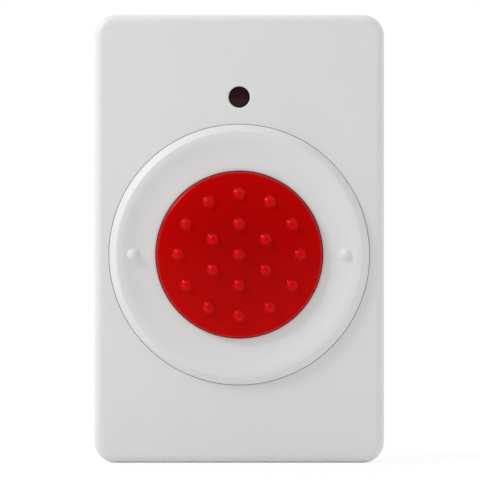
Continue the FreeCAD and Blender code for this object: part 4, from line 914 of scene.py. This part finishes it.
# Radio carrier: a small blue laminate soldered flat to the board by the plated half holes along
# its two long sides. The shield covers its parts.
carrier = Finish("blue_laminate")
across, up, out = spread(carrier)
carrier_back, carrier_front = extent("radio_carrier")[2]
HOLE_LAND_HALF, HOLE_LAND_DEPTH = 0.4, 0.9
RING_INSET, RING_WIDTH, LINE_INSET = 2.0, 0.4, 1.3
land = (up - carrier_middle[1]).beat(PIN_PITCH) < HOLE_LAND_HALF
land = (abs(across - carrier_middle[0]) > carrier_half[0] - HOLE_LAND_DEPTH) * land
inset = apart(across, up, carrier_middle, carrier_half)
bare = between(inset, -RING_INSET, RING_WIDTH - RING_INSET) * (1 - land)
ink = between(inset, -LINE_INSET, INK_WIDTH - LINE_INSET) * (1 - land)
rim = between(out, carrier_back + RESIST, carrier_front - RESIST) * (1 - land)
dressed(laminate(carrier, (0.020, 0.070, 0.170), (0.012, 0.045, 0.120), bare, ink, land, rim),
        "radio_carrier")

# Black mouldings: the switch bodies under their thin steel covers with four riveted corners, the
# header's block, the lamp's spacer and the controller chip with its round mark beside the first
# pin. Glass-filled nylon and epoxy, matt from the mould.


def moulded(finish, light, dark, rough, mark=0.0, mark_color=(0.6, 0.6, 0.6), mark_metal=0.0):
    """Matt plastic or epoxy, with a part of another colour where mark is 1."""
    cloud = finish.noise(2.0, 3.0)
    grain = finish.noise(0.12, 2.0, 0.6)
    tone = finish.mixed(mark, finish.mixed(cloud, (*dark, 1), (*light, 1)), (*mark_color, 1))
    return finish.surface({
        "Base Color": tone,
        "Metallic": mark * mark_metal,
        "Roughness": rough + 0.10 * cloud + 0.06 * grain - mark * 0.15,
        "Normal": finish.bump(grain * 0.003 + mark * 0.01),
    })


dressed(moulded(Finish("black_nylon"), (0.030, 0.030, 0.030), (0.018, 0.018, 0.018), 0.45),
        "program_header", "lamp_spacer")
RIVET_PLACE, RIVET_RADIUS, LID_DEPTH = 2.3, 0.4, 0.3
for node, (x, y) in zip(SWITCHES, switch_places):
    switch = Finish("black_%s" % node)
    across, up, out = spread(switch)
    rivet = switch.distance(X=abs(across - x) - RIVET_PLACE, Y=abs(up - y) - RIVET_PLACE) < RIVET_RADIUS
    lid = (out > extent(node)[2][1] - LID_DEPTH) * (1 - rivet)
    dressed(moulded(switch, (0.030, 0.030, 0.030), (0.016, 0.016, 0.016), 0.48,
                    lid, (0.62, 0.62, 0.60), 1.0), node)
DOT_INSET, DOT_RADIUS = 1.1, 0.5
chip = Finish("chip_epoxy")
across, up, _ = spread(chip)
dot = chip.distance(X=across - chip_middle[0] + chip_half[0] - DOT_INSET,
                    Y=up - chip_middle[1] - chip_half[1] + DOT_INSET) < DOT_RADIUS
dressed(moulded(chip, (0.026, 0.026, 0.028), (0.016, 0.016, 0.018), 0.52,
                dot, (0.055, 0.055, 0.058)), "controller_chip")

# Chip resistors and capacitors: ceramic blocks with tinned end caps, the resistors glazed black on
# top and the capacitors the brown of their ceramic.
END_CAP_START = 0.65
for node, light, dark in (("chip_resistors", (0.030, 0.030, 0.034), (0.018, 0.018, 0.020)),
                          ("chip_capacitors", (0.34, 0.23, 0.13), (0.25, 0.16, 0.09))):
    ceramic = Finish("ceramic_%s" % node)
    caps = abs(spread(ceramic)[0] - footprint(node)[0][0]) > END_CAP_START
    dressed(moulded(ceramic, light, dark, 0.38, caps, (0.66, 0.65, 0.63), 1.0), node)

# Switch plungers: short moulded pins of ivory nylon that stand out of the two switch bodies. A
# spring in each body pushes its pin back out.
dressed(moulded(Finish("ivory_nylon"), (0.60, 0.57, 0.48), (0.52, 0.49, 0.41), 0.42),
        "alarm_switch_plunger", "tamper_switch_plunger")

# Status lamp: a 3 mm indicator on the spacer behind the smoked window, cast in clear red epoxy
# round its two leads.
resin = Finish("lamp_epoxy")
swirl = resin.noise(0.8, 3.0)
dressed(resin.surface({
    "Base Color": resin.mixed(swirl, (0.42, 0.010, 0.008, 1), (0.58, 0.020, 0.014, 1)),
    "Roughness": 0.08 + 0.08 * swirl,
    "Transmission Weight": 0.55,
    "Normal": resin.bump(swirl * 0.002),
}), "status_lamp")

# Metal parts: zinc plated screws, nickel plated contact strips brushed along their length, the
# tinned leads and shield, gilt pins, drawn cans, and the aerial's enamelled copper wire
dressed(drawn_metal("zinc_plate", (0.62, 0.63, 0.66), (0.50, 0.51, 0.55), 0.26, 0.2), "board_screws")
dressed(drawn_metal("nickel_plate", (0.70, 0.68, 0.63), (0.60, 0.58, 0.53), 0.20, 0.15, (1.0, 1.0, 12.0)),
        "battery_positive_contact", "battery_negative_contact")
dressed(drawn_metal("spring_plate", (0.66, 0.65, 0.62), (0.52, 0.51, 0.48), 0.22, 0.3), "battery_spring")
dressed(drawn_metal("tin_plate", (0.68, 0.68, 0.67), (0.54, 0.54, 0.53), 0.30, 0.2),
        "status_lamp_leads", "alarm_switch_terminals", "tamper_switch_terminals", "controller_pins")
dressed(drawn_metal("shield_tin", (0.66, 0.66, 0.65), (0.55, 0.55, 0.54), 0.24, 0.12, (14.0, 1.0, 1.0)),
        "radio_shield")
dressed(drawn_metal("gilding", (0.78, 0.58, 0.22), (0.66, 0.47, 0.16), 0.22, 0.2), "header_pins")
dressed(drawn_metal("crystal_case", (0.68, 0.68, 0.69), (0.57, 0.57, 0.58), 0.16, 0.15, (10.0, 1.0, 1.0)),
        "timing_crystal")
dressed(drawn_metal("copper_enamel", (0.62, 0.25, 0.09), (0.48, 0.17, 0.06), 0.20, 0.3), "coil_antenna")

# Reservoir capacitor: a drawn aluminium can in a black plastic foot, with a black segment printed
# on its top over the negative lead.
can = Finish("capacitor_case")
across, up, out = spread(can)
(can_left, can_right), _, (can_back, can_top) = extent("reservoir_capacitor")
FOOT_RISE, SEGMENT_SHARE, PRINT = 0.9, 0.275, 0.1
segment = across < can_left + (can_right - can_left) * SEGMENT_SHARE
black = (out < can_back + FOOT_RISE).most((out > can_top - PRINT) * segment)
brushed = can.noise(0.15, 2.0, 0.6, (1.0, 10.0, 1.0))
aluminium = can.mixed(brushed, (0.58, 0.58, 0.59, 1), (0.74, 0.74, 0.75, 1))
dressed(can.surface({
    "Base Color": can.mixed(black, aluminium, (0.02, 0.02, 0.02, 1)),
    "Metallic": 1 - black,
    "Roughness": 0.24 + 0.12 * brushed + 0.2 * black,
    "Normal": can.bump(brushed * 0.002),
}), "reservoir_capacitor")

# Battery cell: a round lithium cell of 15.6 x 27 mm. A deep drawn steel can with a crimped lid and
# raised positive cap, in a shrunk blue film with a pale band that folds a little over both ends.
NUB_RADIUS, NUB_RISE, NUB_EDGE, FILM_FOLD, FILM_EDGE = 3.2, 0.8, 0.25, 1.3, 0.8
LID_DROP, GROOVE_DROP, LID_EDGE, CRIMP, CRIMP_EDGE = 0.2, 0.6, 0.1, 0.15, 0.05
length = cell_right - cell_left - NUB_RISE
film_inner = CELL_RADIUS - FILM_FOLD
cell = spun([
    (0.0, 0.0, 0), (film_inner - 2 * CRIMP, 0.0, CRIMP_EDGE), (film_inner - CRIMP, CRIMP, CRIMP_EDGE),
    (film_inner, 0.0, CRIMP_EDGE), (CELL_RADIUS, 0.0, FILM_EDGE), (CELL_RADIUS, length, FILM_EDGE),
    (film_inner, length, CRIMP_EDGE), (film_inner - 0.05, length - LID_DROP, CRIMP_EDGE),
    (NUB_RADIUS + 1.5, length - LID_DROP, LID_EDGE), (NUB_RADIUS + 1.2, length - GROOVE_DROP, LID_EDGE),
    (NUB_RADIUS + 0.2, length - GROOVE_DROP, LID_EDGE), (NUB_RADIUS, length + NUB_RISE, NUB_EDGE),
    (0.0, length + NUB_RISE, 0),
], steps=128)
turn(cell, math.pi / 2, "Y", (cell_left, CELL_Y, CELL_OUT))
jacket = Finish("cell_film")
across, up, out = spread(jacket)
reach = jacket.distance(Y=up - CELL_Y, Z=out - CELL_OUT)
FILM_REACH, WASHER_HOLE, LID_END = film_inner - 0.1, NUB_RADIUS + 1.6, cell_right - 3
BAND_END_INSET, BAND_WIDTH = 5.0, 2.5
band_start = cell_right - BAND_END_INSET - BAND_WIDTH
film = reach > FILM_REACH
washer = between(reach, WASHER_HOLE, FILM_REACH) * (across > LID_END)
pale_band = between(across, band_start, band_start + BAND_WIDTH)
crinkle = jacket.noise(0.8, 3.0, 0.6, (8.0, 1.0, 1.0))
cloud = jacket.noise(4.0, 2.0)
steel = jacket.mixed(cloud, (0.52, 0.52, 0.52, 1), (0.66, 0.66, 0.65, 1))
paint_blue = jacket.mixed(cloud, (0.020, 0.055, 0.150, 1), (0.030, 0.075, 0.190, 1))
coated = jacket.mixed(pale_band, paint_blue, (0.50, 0.51, 0.52, 1))
cell_body = finished(cell, "cell_body", jacket.surface({
    "Base Color": jacket.mixed(washer, jacket.mixed(film, steel, coated), (0.55, 0.54, 0.50, 1)),
    "Metallic": (1 - film) * (1 - washer),
    "Roughness": 0.22 + 0.10 * cloud + 0.25 * washer,
    "Normal": jacket.bump(crinkle * film * 0.02),
}), 45.0)
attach(cell_body, "base")
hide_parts("battery_cell")

# Stage: a pale floor under the case and white all round for the camera. The room is bright at
# the sides and dimmer behind the camera, and a small lamp shines from the upper left, low over
# the front. A long lens looks straight at the front.
FLOOR_SIDE = 6.0
floor_mesh = bmesh.new()
bmesh.ops.create_grid(floor_mesh, x_segments=1, y_segments=1, size=FLOOR_SIDE / 2)
move(floor_mesh, (0, 0, case_low / 1000))
floor = as_object(floor_mesh, "studio_floor")


def ramp(finish, value, start, end):
    """How far a value is from start to end, eased at both."""
    return finish.node("ShaderNodeMapRange", {"interpolation_type": "SMOOTHSTEP"}, {
        "Value": value, "From Min": start, "From Max": end})


def seen_by(finish, *kinds):
    """1 for rays of these kinds, and 0 for the rest."""
    return sum(finish.node("ShaderNodeLightPath", {}, {}, "Is %s Ray" % kind) for kind in kinds)


FADE_START, FADE_END, NEAR_WHITE = 0.08, 0.30, 0.86
paint = Finish("studio_floor_paint")
fade = ramp(paint, paint.length(paint.place()), FADE_START, FADE_END)
matt = paint.node("ShaderNodeBsdfPrincipled", {}, {
    "Base Color": (0.93, 0.93, 0.93, 1), "Roughness": 0.6 + 0.1 * paint.noise(30.0)}, "BSDF")
glow = paint.node("ShaderNodeEmission", {}, {"Color": (1, 1, 1, 1), "Strength": 1.0})
whitened = seen_by(paint, "Camera", "Glossy", "Transmission") * (NEAR_WHITE + (1 - NEAR_WHITE) * fade)
paint.shown(paint.node("ShaderNodeMixShader", {}, {0: whitened, 1: matt, 2: glow}))
floor.data.materials.append(paint.material)

SIDE_LEVEL, RIGHT_RISE, FRONT_LEVEL = 1.00, 0.19, 0.39
FRONT_START, FRONT_END = 0.15, 0.95
room = Finish("studio_room", "worlds")
ray = room.node("ShaderNodeTexCoord", {}, {}, "Generated")
towards_camera = -1 * room.node("ShaderNodeSeparateXYZ", {}, {0: ray}, "Y")
front = ramp(room, towards_camera, FRONT_START, FRONT_END)
to_right = room.node("ShaderNodeSeparateXYZ", {}, {0: ray}, "X")
level = SIDE_LEVEL + RIGHT_RISE * to_right
level = level + (FRONT_LEVEL - level) * front
white = seen_by(room, "Camera", "Transmission") + seen_by(room, "Glossy") * (1 - front)
room.shown(room.node("ShaderNodeBackground", {}, {
    "Color": (1, 1, 1, 1), "Strength": level + (1 - level) * white}), "ShaderNodeOutputWorld")
bpy.context.scene.world = room.material

LAMP_REACH, LAMP_SIDE, LAMP_POWER = 0.50, 0.10, 1.00
LAMP_RISE, LAMP_TURN = math.radians(21), math.radians(138)
key_data = bpy.data.lights.new("key_lamp", "AREA")
key_data.shape = "SQUARE"
key_data.size = LAMP_SIDE
key_data.energy = LAMP_POWER
key_lamp = in_scene("key_lamp", key_data)
key_lamp.location = Vector((math.cos(LAMP_RISE) * math.cos(LAMP_TURN), -math.sin(LAMP_RISE),
                            math.cos(LAMP_RISE) * math.sin(LAMP_TURN))) * LAMP_REACH
key_lamp.rotation_euler = (-key_lamp.location).to_track_quat("-Z", "Y").to_euler()

# The photograph's frame: 480 pixels across, 0.2208 mm each on the cover's face, with the case's
# middle at pixel (239.3, 238.75)
PIXEL = 0.0002208
FRAME_PIXELS = 480
CASE_MIDDLE = (239.3, 238.75)
CAMERA_REACH, SENSOR_WIDTH = 1.5, 36.0
camera_data = bpy.data.cameras.new("front_camera")
camera_data.sensor_width = SENSOR_WIDTH
camera_data.lens = SENSOR_WIDTH * (CAMERA_REACH - COVER_OUT / 1000) / (PIXEL * FRAME_PIXELS)
camera_data.clip_start, camera_data.clip_end = 0.1, 20.0
camera = in_scene("front_camera", camera_data)
camera.location = ((FRAME_PIXELS / 2 - CASE_MIDDLE[0]) * PIXEL, -CAMERA_REACH,
                   (CASE_MIDDLE[1] - FRAME_PIXELS / 2) * PIXEL)
camera.rotation_euler = (math.pi / 2, 0, 0)
bpy.context.scene.camera = camera
bpy.context.scene.view_settings.view_transform = "Standard"
